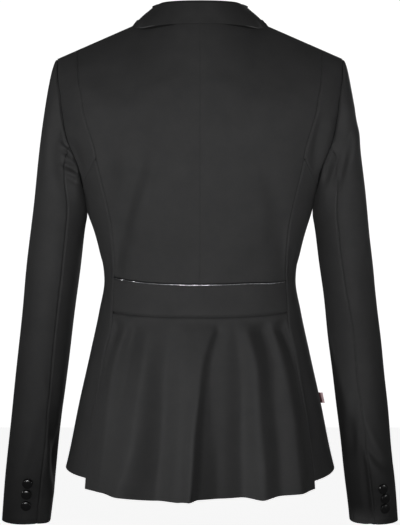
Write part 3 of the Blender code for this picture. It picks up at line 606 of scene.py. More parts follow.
def cloth_material(name, dark, light, weave=1.0):
    """Matte stretch twill: fine slanted ribs, a little fuzz, soft unevenness of tone."""
    m, tree, shader = nodes_of(name)
    link = tree.links.new
    shader.inputs["Roughness"].default_value = 0.82
    shader.inputs["Specular IOR Level"].default_value = 0.22
    shader.inputs["Sheen Weight"].default_value = 0.012
    shader.inputs["Sheen Roughness"].default_value = 0.45
    uv = add(tree, "ShaderNodeUVMap", uv_map="flat")
    where = add(tree, "ShaderNodeTexCoord")
    tone = add(tree, "ShaderNodeTexNoise", Scale=38.0, Detail=4.0, Roughness=0.62)
    link(where.outputs["Object"], tone.inputs["Vector"])
    fuzz = add(tree, "ShaderNodeTexNoise", Scale=900.0, Detail=3.0, Roughness=0.7)
    link(where.outputs["Object"], fuzz.inputs["Vector"])
    both = add(tree, "ShaderNodeMath", operation="MULTIPLY_ADD")
    both.inputs[1].default_value = 0.45
    link(fuzz.outputs["Fac"], both.inputs[0])
    link(tone.outputs["Fac"], both.inputs[2])
    ramp = tree.nodes.new("ShaderNodeValToRGB")
    ramp.color_ramp.elements[0].position = 0.48
    ramp.color_ramp.elements[1].position = 0.98
    ramp.color_ramp.elements[0].color = (*dark, 1)
    ramp.color_ramp.elements[1].color = (*light, 1)
    link(both.outputs[0], ramp.inputs["Fac"])
    link(ramp.outputs["Color"], shader.inputs["Base Color"])
    turn = add(tree, "ShaderNodeMapping", vector_type="POINT")
    turn.inputs["Rotation"].default_value = (0, 0, math.radians(63))
    link(uv.outputs["UV"], turn.inputs["Vector"])
    ribs = add(tree, "ShaderNodeTexWave", wave_type="BANDS", bands_direction="X", wave_profile="SIN")
    ribs.inputs["Scale"].default_value = 260.0
    ribs.inputs["Distortion"].default_value = 0.6
    ribs.inputs["Detail"].default_value = 1.0
    ribs.inputs["Detail Scale"].default_value = 2.0
    link(turn.outputs["Vector"], ribs.inputs["Vector"])
    first = add(tree, "ShaderNodeBump", Strength=0.35 * weave, Distance=0.00012)
    link(ribs.outputs["Fac"], first.inputs["Height"])
    second = add(tree, "ShaderNodeBump", Strength=0.3, Distance=0.0002)
    link(fuzz.outputs["Fac"], second.inputs["Height"])
    link(first.outputs["Normal"], second.inputs["Normal"])
    link(second.outputs["Normal"], shader.inputs["Normal"])
    return m


BLACK = cloth_material("black_stretch_twill", (0.0252, 0.0252, 0.0255), (0.0318, 0.0317, 0.0320))
COLLAR_BLACK = cloth_material("black_collar_cloth", (0.0215, 0.0215, 0.0218), (0.0272, 0.0271, 0.0274))
# Next: near black, far darker than the cloth: painted shade, for the dark seam lines, the armhole seams and the shadow
# under the collar's edge.
PAINTED_SHADE_BLACK = cloth_material("painted_shade_black", (0.0030, 0.0030, 0.0031), (0.0060, 0.0060, 0.0061), 0.6)
# Next: pale grey, far lighter than the cloth: painted highlight along the lit ends of the collar's edge.
PAINTED_HIGHLIGHT_GREY = cloth_material("painted_highlight_collar_edge", (0.062, 0.062, 0.063), (0.095, 0.095, 0.096), 0.4)


def gloss_material():
    m, tree, shader = nodes_of("polished_black_button")
    shader.inputs["Roughness"].default_value = 0.17
    shader.inputs["Specular IOR Level"].default_value = 0.42
    shader.inputs["Coat Weight"].default_value = 0.08
    shader.inputs["Coat Roughness"].default_value = 0.06
    where = add(tree, "ShaderNodeTexCoord")
    swirl = add(tree, "ShaderNodeTexNoise", Scale=420.0, Detail=3.0, Distortion=1.2)
    tree.links.new(where.outputs["Object"], swirl.inputs["Vector"])
    ramp = tree.nodes.new("ShaderNodeValToRGB")
    ramp.color_ramp.elements[0].color = (0.0025, 0.0025, 0.0027, 1)
    ramp.color_ramp.elements[1].color = (0.0075, 0.0075, 0.0078, 1)
    tree.links.new(swirl.outputs["Fac"], ramp.inputs["Fac"])
    tree.links.new(ramp.outputs["Color"], shader.inputs["Base Color"])
    return m


def crystal_material():
    m, tree, shader = nodes_of("cut_crystal")
    shader.inputs["Roughness"].default_value = 0.12
    shader.inputs["Metallic"].default_value = 0.45
    shader.inputs["IOR"].default_value = 1.75
    where = add(tree, "ShaderNodeTexCoord")
    tone = add(tree, "ShaderNodeTexNoise", Scale=330.0, Detail=1.0)
    tree.links.new(where.outputs["Object"], tone.inputs["Vector"])
    ramp = tree.nodes.new("ShaderNodeValToRGB")
    ramp.color_ramp.elements[0].position = 0.32
    ramp.color_ramp.elements[1].position = 0.68
    ramp.color_ramp.elements[0].color = (0.16, 0.16, 0.17, 1)
    ramp.color_ramp.elements[1].color = (0.62, 0.63, 0.65, 1)
    tree.links.new(tone.outputs["Fac"], ramp.inputs["Fac"])
    tree.links.new(ramp.outputs["Color"], shader.inputs["Base Color"])
    return m


def metal_material():
    m, tree, shader = nodes_of("silver_setting")
    shader.inputs["Metallic"].default_value = 1.0
    shader.inputs["Roughness"].default_value = 0.32
    where = add(tree, "ShaderNodeTexCoord")
    tone = add(tree, "ShaderNodeTexNoise", Scale=500.0, Detail=2.0)
    tree.links.new(where.outputs["Object"], tone.inputs["Vector"])
    ramp = tree.nodes.new("ShaderNodeValToRGB")
    ramp.color_ramp.elements[0].color = (0.16, 0.16, 0.17, 1)
    ramp.color_ramp.elements[1].color = (0.26, 0.26, 0.27, 1)
    tree.links.new(tone.outputs["Fac"], ramp.inputs["Fac"])
    tree.links.new(ramp.outputs["Color"], shader.inputs["Base Color"])
    return m


def tape_material():
    """Woven tape: pale pink with a wine-red foot where it goes into the seam."""
    m, tree, shader = nodes_of("woven_tape")
    link = tree.links.new
    shader.inputs["Roughness"].default_value = 0.7
    uv = add(tree, "ShaderNodeUVMap", uv_map="flat")
    split = tree.nodes.new("ShaderNodeSeparateXYZ")
    link(uv.outputs["UV"], split.inputs["Vector"])
    ramp = tree.nodes.new("ShaderNodeValToRGB")
    for place, wine in ((0.17, True), (0.21, False), (0.79, False), (0.83, True)):
        stop = ramp.color_ramp.elements.new(place)
        stop.color = (0.10, 0.012, 0.022, 1) if wine else (0.70, 0.48, 0.50, 1)
    ramp.color_ramp.elements[0].color = (0.10, 0.012, 0.022, 1)
    ramp.color_ramp.elements[-1].color = (0.10, 0.012, 0.022, 1)
    link(split.outputs["X"], ramp.inputs["Fac"])
    link(ramp.outputs["Color"], shader.inputs["Base Color"])
    weave = add(tree, "ShaderNodeTexChecker", Scale=42.0)
    link(uv.outputs["UV"], weave.inputs["Vector"])
    bump = add(tree, "ShaderNodeBump", Strength=0.4, Distance=0.0001)
    link(weave.outputs["Fac"], bump.inputs["Height"])
    link(bump.outputs["Normal"], shader.inputs["Normal"])
    return m


GLOSS, CRYSTAL, SILVER, TAPE = gloss_material(), crystal_material(), metal_material(), tape_material()

# ---------------------------------------------------------------- body panels

def middle(grid):
    """The line inside the body that cloth faces away from."""
    return np.stack([0 * grid[..., 0], 0 * grid[..., 0], grid[..., 2]], axis=-1)


def panel(left, right, v, step, point=None):
    """Grid of points between two seams, given as angles for each level."""
    point = point or (lambda a, vv, f: body(a, vv))
    f = np.linspace(0, 1, 13)[None]
    rough = point(left[:, None] + (right - left)[:, None] * f, v[:, None] + 0 * f, f + 0 * v[:, None])
    width = lengths(rough, 1)[:, -1]
    f = columns(width, max(int(width.max() / step), 4))
    return point(left[:, None] + (right - left)[:, None] * f, v[:, None] + 0 * f, f)


def mirrored(grid, side):
    return grid * np.array([side, 1, 1])


def finish_panel(grid, depths, seed, table=(), facing=-1, move=None):
    """Creases and sewn edges of a body panel, and its normals."""
    n = normals(grid, middle(grid))
    lift = np.zeros(grid.shape[:2])
    if len(table):
        across = lengths(grid, 1)
        edge = np.minimum(across, across[:, -1:] - across)
        lift += creased(grid, table, 1) * (1 - np.exp(-((edge / (5 * MM)) ** 2)))
    if move is not None:
        lift += move(grid)
    grid = grid + n * lift[..., None]
    n = normals(grid, middle(grid))
    grid = sew(stand_back(grid), n, depths, seed)
    return grid, normals(grid, middle(grid))


def soft_back(grid):
    """Uneven hang of the back cloth, and the press of the centre seam."""
    x, z = grid[..., 0] / MM, grid[..., 2] / MM
    lift = 0.35 * np.sin(x / 19 + z / 47) + 0.3 * np.sin(x / 31 - z / 26 + 1.3)
    return lift * MM * smooth((-z - 40) / 60)


side_name = {1: "right", -1: "left"}
rows = levels(BAND_TOP * MM, TOP_V, 2.6 * MM)
lower = rows <= -0.18
edge = np.where(lower, angle_at(PRINCESS, rows, False), angle_at(INSERT, rows, False))


def slump(f):
    """How much lower the waist seam hangs towards its right end."""
    return RIGHT_SLUMP * smooth((f - 0.4) / 0.6)


def back_point(a, v, f, side):
    i = (v / MM - BAND_TOP) / 28.1
    dip = BAND_TOP_DIP * (1 - f**2) + slump(f * side)
    return body(a, v + dip * MM * np.maximum(0.0, 1 - i / 4) ** 1.5)


back_grids = {k: panel(0 * rows, edge, rows, 2.6 * MM, lambda a, v, f, k=k: back_point(a, v, f, k)) for k in (1, -1)}

rows = levels(-0.2212, TOP_V, 2.6 * MM)
left = np.where(rows < -0.18, angle_at(INSERT_FOOT, rows, False), angle_at(INSERT, rows, False))
insert_grid = panel(left, angle_at(ARMHOLE_BACK, rows, False), rows, 2.6 * MM)

rows = levels(HEM, -0.1835, 2.8 * MM)
left = angle_at(PRINCESS, rows, False)
seam_side = SIDE_SEAM + (math.pi / 2 - SIDE_SEAM) * np.clip((rows + 0.260) / 0.028, 0, 1)
right = np.where(rows < -0.222, angle_at(ARMHOLE_BACK, rows, False), angle_at(INSERT_FOOT, rows, False))
right = np.where(rows < UNDERARM, seam_side, right)


def lower(v, side):
    """How much lower a side panel hangs at the back seam than at the side seam."""
    return (0.009 if side > 0 else 0.005) * np.clip((-0.500 - v) / (-0.500 - HEM), 0, 1) ** 2


def side_point(a, v, f, side):
    """The hem hangs lower towards the back seam; the cloth stands out under the arm."""
    out = (2.8 if side < 0 else 1.2) * MM * np.exp(-(((v + 0.248) / 0.022) ** 2)) * smooth((f - 0.45) / 0.4)
    return body(a, v - lower(v, side) * (1 - f), -out)


side_grids = {}
for k in (1, -1):
    left = angle_at(PRINCESS, rows - lower(rows, k), False) - 0.02 * smooth((-0.535 - rows) / 0.025)
    side_grids[k] = panel(left, right, rows, 2.8 * MM, lambda a, v, f, k=k: side_point(a, v, f, k))

rows = levels(HEM, TOP_V, 3.2 * MM)
seam_side = SIDE_SEAM + (math.pi / 2 - SIDE_SEAM) * np.clip((rows + 0.260) / 0.028, 0, 1)
left = np.where(rows < UNDERARM, seam_side, angle_at(ARMHOLE_FRONT, rows, True))
right = angle_at(FRONT_EDGE, rows, True)
front_over = panel(left, right, rows, 4.0 * MM)


def lapped(a, v, f):
    x = body(a, v)[..., 0]
    return body(a, v, LAP * smooth((0.085 - x) / 0.065))


front_under = panel(left, right, rows, 4.0 * MM, lapped)

for side in (1, -1):
    s = side_name[side]
    g, n = finish_panel(mirrored(back_grids[side], side), (0.18, 1.1, 1.5, 0.3), 1.7 * side, BACK_CREASES, move=soft_back)
    cloth(f"back_{s}", g, n, BLACK)
    g, n = finish_panel(mirrored(insert_grid, side), (1.1, 2.0, 0.6, 0.3), 2.3 * side, INSERT_CREASES)
    cloth(f"back_insert_{s}", g, n, BLACK)
    g, n = finish_panel(mirrored(side_grids[side], side), (1.1, 0.7, 0.0, 0.6), 3.1 * side, SIDE_CREASES)
    cloth(f"side_{s}", g, n, BLACK)
    g = mirrored(front_over if side > 0 else front_under, side)
    g, n = finish_panel(g, (0.6, 0.0, 0.0, 0.3), 4.7 * side, FRONT_CREASES)
    cloth(f"front_{s}", g, n, BLACK)


# ---------------------------------------------------------------- waistband and skirt
def band_point(a, v, f):
    share = (v / MM - BAND_FOOT) / (BAND_TOP - BAND_FOOT)
    dip = BAND_FOOT_DIP + (BAND_TOP_DIP - BAND_FOOT_DIP) * share
    return body(a, v + (dip * (1 - (2 * f - 1) ** 2) + slump(2 * f - 1) * share) * MM)


rows = levels(BAND_FOOT * MM, BAND_TOP * MM, 2.4 * MM)
edge = angle_at(PRINCESS, rows, False)


def soft_band(grid):
    x, z = grid[..., 0] / MM, grid[..., 2] / MM
    t = np.clip((z - BAND_FOOT) / (BAND_TOP - BAND_FOOT), 0, 1)
    swell = 0.7 * np.sin(math.pi * t)
    return (swell + 0.22 * np.sin(x / 17 + z / 9) + 0.18 * np.sin(x / 8.5 - z / 13)) * MM


g, n = finish_panel(panel(-edge, edge, rows, 2.5 * MM, band_point), (1.0, 1.0, 2.2, 0.9), 5.3, move=soft_band)
cloth("waistband_back", g, n, BLACK)


def fluted(v):
    return np.clip((BAND_FOOT * MM - 0.004 - v) / 0.235, 0.0, 1.0)


def folded(x, t, half):
    """How far a row of the back skirt stands out at x, and how much lower it hangs."""
    place, height = [-half / MM], [0.0]
    for i, row in enumerate(SKIRT_FOLDS):
        place.append(float(at(np.column_stack([FOLD_SHARE, row[:5]]), t)) + 0.8 * math.sin(11 * t + 1.7 * i))
        height.append(float(at(np.column_stack([FOLD_SHARE, row[5:10]]), t)) * float(smooth(t / 0.09)))
    place = np.array(place + [half / MM]) * MM
    place[1:-1] = np.clip(place[1:-1], 2 * MM - half, half - 2 * MM)
    height = np.array(height + [0.0]) * MM
    drop = np.concatenate([[0.0], SKIRT_FOLDS[:, 10], [0.0]]) * MM
    out = 0.0
    for shift in (-3.4, -2.0, -0.7, 0.7, 2.0, 3.4):
        q = np.clip(x + shift * MM, place[0], place[-1])
        j = np.clip(np.searchsorted(place, q) - 1, 0, len(place) - 2)
        k = (q - place[j]) / (place[j + 1] - place[j])
        k = 0.4 * k + 0.6 * smooth(k)
        out = out + (height[j] + (height[j + 1] - height[j]) * k) / 6
    lower = drop[j] + (drop[j + 1] - drop[j]) * k
    return out, (lower + HEM_DIP * MM * np.maximum(0.0, 1 - (x / half) ** 2)) * t * t


rows = levels(SKIRT_HEM, BAND_FOOT * MM, 2.0 * MM)
edge = angle_at(PRINCESS, rows, False)
f = np.linspace(0, 1, 1400)[None]
a = -edge[:, None] + 2 * edge[:, None] * f
fade = np.maximum(0.0, 1 - (BAND_FOOT - rows / MM) / 35.0 / 4)[:, None] ** 1.5
dense = body(a, rows[:, None] + BAND_FOOT_DIP * MM * (1 - (2 * f - 1) ** 2) * fade)
for i, v in enumerate(rows):
    out, lower = folded(dense[i, :, 0], float(fluted(v)), abs(float(dense[i, 0, 0])))
    dense[i, :, 1] -= out
    dense[i, :, 2] -= lower
along = lengths(dense, 1)
f = columns(along[:, -1], 230)
skirt = np.empty((len(rows), f.shape[1], 3))
for i in range(len(rows)):
    for k in range(3):
        skirt[i, :, k] = np.interp(f[i] * along[i, -1], along[i], dense[i, :, k])
n = normals(skirt, middle(skirt))
skirt = sew(stand_back(skirt), n, (0.9, 0.9, 0.0, 2.4), 6.1)
cloth("peplum_back", skirt, normals(skirt, middle(skirt)), BLACK)


# ---------------------------------------------------------------- crystal trim
def trim():
    edge = float(angle_at(PRINCESS, np.array([BAND_TOP * MM]), False)[0]) * 0.985

    def line(f, w):
        """Along the seam; towards both ends the trim goes in under the cloth's edge."""
        hidden = np.maximum(smooth((-f - 0.60) / 0.16) * (1 - 0.8 * np.exp(-(((f + 0.86) / 0.018) ** 2))), smooth((f - 0.70) / 0.2))
        z = BAND_TOP + BAND_TOP_DIP * (1 - f * f) + slump(f) + 0.5 * hidden
        return body(edge * f, z * MM, w + 2.3 * MM * hidden)

    f = np.linspace(-1, 1, 2001)
    run = line(f, -0.7 * MM)
    d = np.concatenate([[0], np.cumsum(np.linalg.norm(np.diff(run, axis=0), axis=1))])
    count = int(d[-1] / (1.75 * MM))
    places = np.interp(np.linspace(0.5 / count, 1 - 0.5 / count, count) * d[-1], d, f)
    verts, faces = [], []
    rng = np.random.default_rng(11)
    for q in places:
        c = line(np.array([q]), -0.75 * MM)[0]
        side = unit(line(np.array([q + 0.002]), 0.0)[0] - line(np.array([q - 0.002]), 0.0)[0])
        out = unit(np.cross(np.array([0, 0, 1.0]), side))
        out = -out if out[1] > 0 else out
        out = unit(out + rng.normal(0, 0.13, 3))
        up = np.cross(out, side)
        base = len(verts)
        turn = rng.uniform(0, math.pi / 4)
        for radius, height, lag in ((0.66, 0.0, 0.0), (0.62, 0.26, 0.5), (0.34, 0.56, 0.0)):
            for k in range(8):
                b = 2 * math.pi * (k + lag) / 8 + turn
                verts.append(c + (side * math.cos(b) + up * math.sin(b)) * radius * MM + out * height * MM)
        for lo, hi in ((0, 8), (8, 16)):
            for k in range(8):
                m = (k + 1) % 8
                faces.append((base + lo + k, base + lo + m, base + hi + k))
                faces.append((base + lo + m, base + hi + m, base + hi + k))
        faces.append(tuple(base + 16 + k for k in range(8)))
        faces.append(tuple(base + k for k in range(7, -1, -1)))
    stones = new_object("waist_crystals", verts, faces, CRYSTAL, smooth_angle=1)
    # silver cup chain under the stones
    k = np.linspace(0, 2 * math.pi, 9)[:-1]
    f = np.linspace(-1, 1, 500)
    verts, faces = [], []
    for i, q in enumerate(f):
        c = line(np.array([q]), -0.55 * MM)[0]
        wide = 0.66 + 0.10 * math.cos(2 * math.pi * i * count / len(f))
        for b in k:
            verts.append(c + np.array([0, math.cos(b) * 0.42, math.sin(b) * wide]) * MM)
    for i in range(len(f) - 1):
        for j in range(8):
            m = (j + 1) % 8
            faces.append((i * 8 + j, i * 8 + m, i * 8 + 8 + m, i * 8 + 8 + j))
    faces.append(tuple(range(8)))
    faces.append(tuple(range(len(verts) - 1, len(verts) - 9, -1)))
    chain = new_object("waist_chain", verts, faces, SILVER)
    # tape that the stones are sewn to, coloured far darker than the cloth as painted shadow: it shows as the dark line
    # above them
    f = np.linspace(-1, 1, 420)
    z = BAND_TOP + BAND_TOP_DIP * (1 - f * f) + slump(f) + 1.45
    tall = 0.62 + 0.25 * smooth((-f - 0.55) / 0.3)
    tape = cord("waist_tape", body(edge * f, z * MM, -0.35 * MM + 0 * f), tall * MM, 0.45 * MM + 0 * f, PAINTED_SHADE_BLACK)
    for o in (stones, chain, tape):
        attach(o, "root")
    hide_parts("waist_trim")


trim()


# ---------------------------------------------------------------- sleeves
def sleeve_ring(z, phi, w=0.0):
    mm = z / MM
    cx, a, cy, d = (at(SLEEVE, mm, c) * MM for c in (1, 2, 3, 4))
    return np.stack([cx + (a - w) * np.cos(phi), cy - (d - w) * np.sin(phi), z + 0 * phi], axis=-1)


def sleeve_cap(start, tip, phi, t):
    run = np.linalg.norm(tip - start, axis=-1, keepdims=True)
    m0 = unit(np.array([-0.12, 0.01, 1.0])) * run
    c = (1 + np.cos(phi)) / 2
    m1 = np.stack([-2.0 * c * (1 - c) - 0.18 * c, 0 * c, 1 - 0.91 * c * c], axis=-1) * run
    return hermite(start, tip, m0, m1, t[..., None])


v = np.linspace(TOP_V, UNDERARM + 0.0004, 260)
behind = body(angle_at(ARMHOLE_BACK, v, False), v)
before = body(angle_at(ARMHOLE_FRONT, v, True), v)
loop = np.concatenate([behind, body(np.array([math.pi / 2]), np.array([UNDERARM])), before[::-1]])
loop_d = np.concatenate([[0], np.cumsum(np.linalg.norm(np.diff(loop, axis=0), axis=1))])
elbow_d = float(loop_d[int(np.argmin(np.abs(v + 0.165)))])
inner_d = float(loop_d[len(loop) - 1 - int(np.argmin(np.abs(v + 0.184)))])
total_d = float(loop_d[-1])


def armhole(d):
    return np.stack([np.interp(d, loop_d, loop[:, k]) for k in range(3)], axis=-1)


def sleeve_angle(d, z, side):
    e = at(ELBOW[side], z / MM)
    one = e * d / elbow_d
    two = e + (INNER_SEAM - e) * (d - elbow_d) / (inner_d - elbow_d)
    three = INNER_SEAM + (360.0 - INNER_SEAM) * (d - inner_d) / (total_d - inner_d)
    return np.radians(np.where(d <= elbow_d, one, np.where(d <= inner_d, two, three)))


def sleeve_grid(d, side):
    """Cloth between the cuff and the armhole along the lines that reach it at d."""
    z = levels(CUFF, CAP, 2.9 * MM)
    tube = sleeve_ring(z[:, None], sleeve_angle(d[None], z[:, None], side))
    phi = sleeve_angle(d, np.full_like(d, CAP), side)
    far = np.linalg.norm(armhole(d) - tube[-1], axis=-1).max()
    t = levels(0.0, far, 2.3 * MM)[5:] / far
    cap = sleeve_cap(tube[-1][None], armhole(d)[None], phi[None] + 0 * t[:, None], t[:, None] + 0 * d[None])
    return np.concatenate([tube[:-4], cap], axis=0)


def sleeve_middle(grid):
    mm = np.clip(grid[..., 2] / MM, SLEEVE[0, 0], -300)
    cx, cy = at(SLEEVE, mm, 1) * MM, at(SLEEVE, mm, 3) * MM
    high = smooth((grid[..., 2] + 0.28) / 0.2)
    return np.stack([cx - 0.02 * high, cy + 0.004 * high, np.minimum(grid[..., 2], -0.13)], axis=-1)


def fuller(grid, side):
    """Cloth pushed out under the arm and, on the left, flattened at the inner cuff."""
    mm = np.clip(grid[..., 2] / MM, SLEEVE[0, 0], SLEEVE[-1, 0])
    cx, a, cy, d = (at(SLEEVE, mm, c) * MM for c in (1, 2, 3, 4))
    turn = np.degrees(np.arctan2((cy - grid[..., 1]) / d, (side * grid[..., 0] - cx) / a)) % 360.0
    z = grid[..., 2]
    arm = (4.2 if side < 0 else 3.0) * np.exp(-(((z + 0.238) / 0.026) ** 2)) * np.exp(-(((turn - 165) / 32) ** 2))
    cuff = (4.4 if side < 0 else 1.5) * smooth((-0.44 - z) / 0.12) * np.exp(-(((turn - 146) / 20) ** 2))
    return (arm + cuff) * MM


for side in (1, -1):
    s = side_name[side]
    for name, d0, d1, seams, flat, area in (
        ("sleeve_top_", inner_d - total_d, elbow_d, (0.6, 1.1, 0.0, 2.2), (0.318, 0.663), 0.1085),
        ("sleeve_under_", elbow_d, inner_d, (1.1, 0.6, 0.0, 2.2), (0.182, 0.546), 0.0505),
    ):
        n_cols = int((d1 - d0) / ((2.2 if side < 0 else 2.5) * MM)) if d0 < 0 else int((d1 - d0) / (2.2 * MM))
        d = d0 + (d1 - d0) * columns([d1 - d0], n_cols)[0]
        g = sleeve_grid(np.where(d < 0, d + total_d, d), side)
        n = normals(g, sleeve_middle(g))
        g, n = mirrored(g, side), mirrored(n, side)
        back_share = smooth((0.25 - n[..., 1]) / 0.5)
        lift = creased(g, SLEEVE_CREASES[side], 1) * back_share
        x, z = g[..., 0] / MM, g[..., 2] / MM
        lift += (0.35 * np.sin(z / 37 + g[..., 1] / MM / 21 + side) + 0.25 * np.sin(z / 19 - x / 13)) * MM
        lift += fuller(g, side)
        run = lengths(g, 0)
        lift *= 1 - np.exp(-(((run[-1:] - run) / (4.5 * MM)) ** 2))
        g = g + n * lift[..., None]
        centre = mirrored(sleeve_middle(mirrored(g, side)), side)
        n = normals(g, centre)
        g = sew(stand_back(g), n, seams, 7.7 * side)
        cloth(name + s, g, normals(g, centre), BLACK)
    # tape sewn inside the armhole seam, coloured near black: painted shade along the seam
    line = mirrored(armhole(np.linspace(0, total_d, 260))[None], side)[0]
    outward = unit(line - line.mean(axis=0))
    tape = cord("armhole_painted_shade_strip_" + s, line - outward * 3.5 * MM, np.full(260, 4.0 * MM), np.full(260, 0.8 * MM), PAINTED_SHADE_BLACK, outward)
    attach(tape, "root")


# ---------------------------------------------------------------- collar and lapels
def neck_seam(psi):
    s, c = np.sin(psi), np.cos(psi)
    p = top_line(NECK_X * s / SHOULDER_X, c < 0, 0.0)
    e = unit(np.stack([-s / NECK_X, c / np.where(c > 0, NECK_BACK, NECK_FRONT), 0 * s], axis=-1))
    return p, e


def bead(points, n):
    """Smooth run of n points through rows of points (last axis but one)."""
    d = np.linalg.norm(np.diff(points, axis=1), axis=-1).mean(axis=0)
    k = np.concatenate([[0], np.cumsum(d)])
    want = np.linspace(0, k[-1], n)
    made = np.empty((points.shape[0], n, 3))
    for i in range(points.shape[0]):
        for c in range(3):
            made[i, :, c] = at(np.stack([k, points[i, :, c]], axis=1), want)
    return made


def collar():
    psi_rows = np.radians(COLLAR[:, 0])
    rest = []
    for (deg, _, _, ex, ez), psi in zip(COLLAR, psi_rows):
        if deg == 92.0:
            rest.append((ex * MM, SHOULDER_Y, ez * MM))
        else:
            rest.append(on_body(ex * MM, ez * MM, psi > math.pi / 2, -5.6 * MM))
    rest_table = np.column_stack([COLLAR[:, 0], np.array(rest).reshape(-1, 3)])
    deg = np.linspace(0, 147, 130)
    psi = np.radians(deg)
    rise, lean = at(COLLAR, deg, 1) * MM, at(COLLAR, deg, 2) * MM
    edge = np.stack([at(rest_table, deg, k) for k in (1, 2, 3)], axis=-1)
    p, e = neck_seam(psi)
    high = np.array([0.0, 0.0, 1.0])
    t = COLLAR_CLOTH
    gap = SEAM * (1 + 1.8 * np.sin(psi / 2) ** 2)

    def leg(h, inwards):
        h, inwards = np.broadcast_to(h, rise.shape), np.broadcast_to(inwards, rise.shape)
        return p + e * (lean * h / rise + inwards)[:, None] + high * h[:, None]

    stand = np.stack([leg(0.5 * MM + (rise * STAND_SHARE - gap - 0.5 * MM) * k, 0.0) for k in np.linspace(0, 1, 7)], axis=1)
    roll = np.minimum(5.0 * MM, rise * 0.42)
    start = leg(rise - roll * 0.35, t - roll * 1.9)
    lift = unit(np.stack([-e[:, 0], -e[:, 1], 0.9 + 0 * e[:, 0]], axis=-1))
    mid = (start + edge) / 2 + lift * 3.0 * MM
    line = [leg(rise * STAND_SHARE + gap, t), leg(rise - roll * 0.75, t), leg(rise, t - roll * 0.8), start]
    for f in (0.25, 0.5, 0.75, 1.0):
        q = (1 - f) ** 2 * start + 2 * f * (1 - f) * mid + f * f * edge
        for facing in (False, True):
            clear = on_body(q[:, 0], q[:, 2], facing, -5.0 * MM)
            near = (np.abs(clear[:, 2] - q[:, 2]) < 0.3 * MM) & ((psi > math.pi / 2) == facing)
            y = np.maximum(q[:, 1], clear[:, 1]) if facing else np.minimum(q[:, 1], clear[:, 1])
            q[:, 1] = np.where(near, y, q[:, 1])
        line.append(q)
    fall = bead(np.stack(line, axis=1), 54)

    def both(g):
        return np.concatenate([g[:0:-1] * np.array([-1, 1, 1]), g])

    stand, fall = both(stand), both(fall)
    n = unit(np.cross(np.gradient(fall, axis=0), np.gradient(fall, axis=1)))
    if n[len(n) // 2, -8, 1] > 0:
        n = -n
    x, z = fall[..., 0] / MM, fall[..., 2] / MM
    ripple = 0.25 * np.sin(x / 15 + 0.4) + 0.2 * np.sin(x / 8.3 - z / 6)
    fall = fall + n * (ripple * MM * smooth(np.linspace(0, 1, fall.shape[1]) * 1.5 - 0.4))[..., None]
    n = unit(np.cross(np.gradient(fall, axis=0), np.gradient(fall, axis=1)))
    if n[len(n) // 2, -8, 1] > 0:
        n = -n
    cloth("collar_fall", fall, n, COLLAR_BLACK, thick=COLLAR_CLOTH)
    turn = np.concatenate([-deg[:0:-1], deg])
    # The edge cords are pale grey, a painted highlight on the collar's lit edge; the under cords are near black, a
    # painted shadow beneath that edge.
    for side in (1, -1):
        for label, lo, hi, tall, deep, down, back, material in (
            ("edge", 42.0, 68.0, 0.75, 0.7, 0.2, 0.3, PAINTED_HIGHLIGHT_GREY),
            ("under", 18.0, 70.0, 1.5 if side < 0 else 1.0, 0.6, 1.5, 1.5, PAINTED_SHADE_BLACK),
        ):
            row = np.where((turn * side >= lo) & (turn * side <= hi))[0]
            share = (turn[row] * side - lo) / (hi - lo)
            body_of = np.clip(np.sin(math.pi * share) ** 0.7, 0.12, 1)
            line = fall[row, -1] - n[row, -1] * back * MM - high * (down * body_of * MM)[:, None]
            o = cord(f"collar_{label}_{side_name[side]}", line, tall * body_of * MM, deep * (0.4 + 0.6 * body_of) * MM, material)
            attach(o, "root")
    n = unit(np.cross(np.gradient(stand, axis=0), np.gradient(stand, axis=1)))
    if n[len(n) // 2, 3, 1] > 0:
        n = -n
    cloth("collar_stand", stand, n, COLLAR_BLACK, thick=COLLAR_CLOTH)


collar()


def lapel(side):
    """Turned-back lapel, rolled over at the front edge."""
    r = np.linspace(0, 1, 64)
    k = np.column_stack([np.linspace(0, 1, len(LAPEL)), LAPEL])
    rx, rz, ex, ez = (at(k, r, c) * MM for c in (1, 2, 3, 4))
    f = np.linspace(0, 1, 44)
    x = rx[:, None] + (ex - rx)[:, None] * f
    tent = np.maximum(0.0, 1 - np.abs(f - NOTCH[0]) / NOTCH[0])
    z = rz[:, None] + (ez - rz)[:, None] * f
    z = z + NOTCH[1] * MM * tent[None] * np.maximum(0.0, 1 - r[:, None] / 0.14) ** 1.3
    belly = 1.2 * MM * np.sin(math.pi * f)[None] * np.sin(math.pi * np.minimum(r * 1.2, 1))[:, None]
    base = on_body(x, z, True, 0.0)
    if side < 0:
        under = LAP * smooth((0.085 - x) / 0.065)
        base[..., 1] -= under
    n = normals(base, middle(base))
    top = base + n * (LAPEL_GAP + CLOTH + belly)[..., None]
    # the roll: the cloth turns under towards the front's own edge
    turn = []
    for q in np.linspace(1, 0, 7)[:-1]:
        a = q * math.pi * 0.8
        turn.append(top[:, 0] + np.array([-1.0, 0, 0]) * (math.sin(a) * 2.2 * MM) - n[:, 0] * ((1 - math.cos(a)) * 2.2 * MM))
    g = np.concatenate([np.stack(turn, axis=1), top], axis=1)
    nn = unit(np.cross(np.gradient(g, axis=0), np.gradient(g, axis=1)))
    if nn[30, -20, 1] < 0:
        nn = -nn
    g, nn = mirrored(g, side), mirrored(nn, side)
    cloth("lapel_" + side_name[side], g, nn, COLLAR_BLACK)


lapel(1)
lapel(-1)


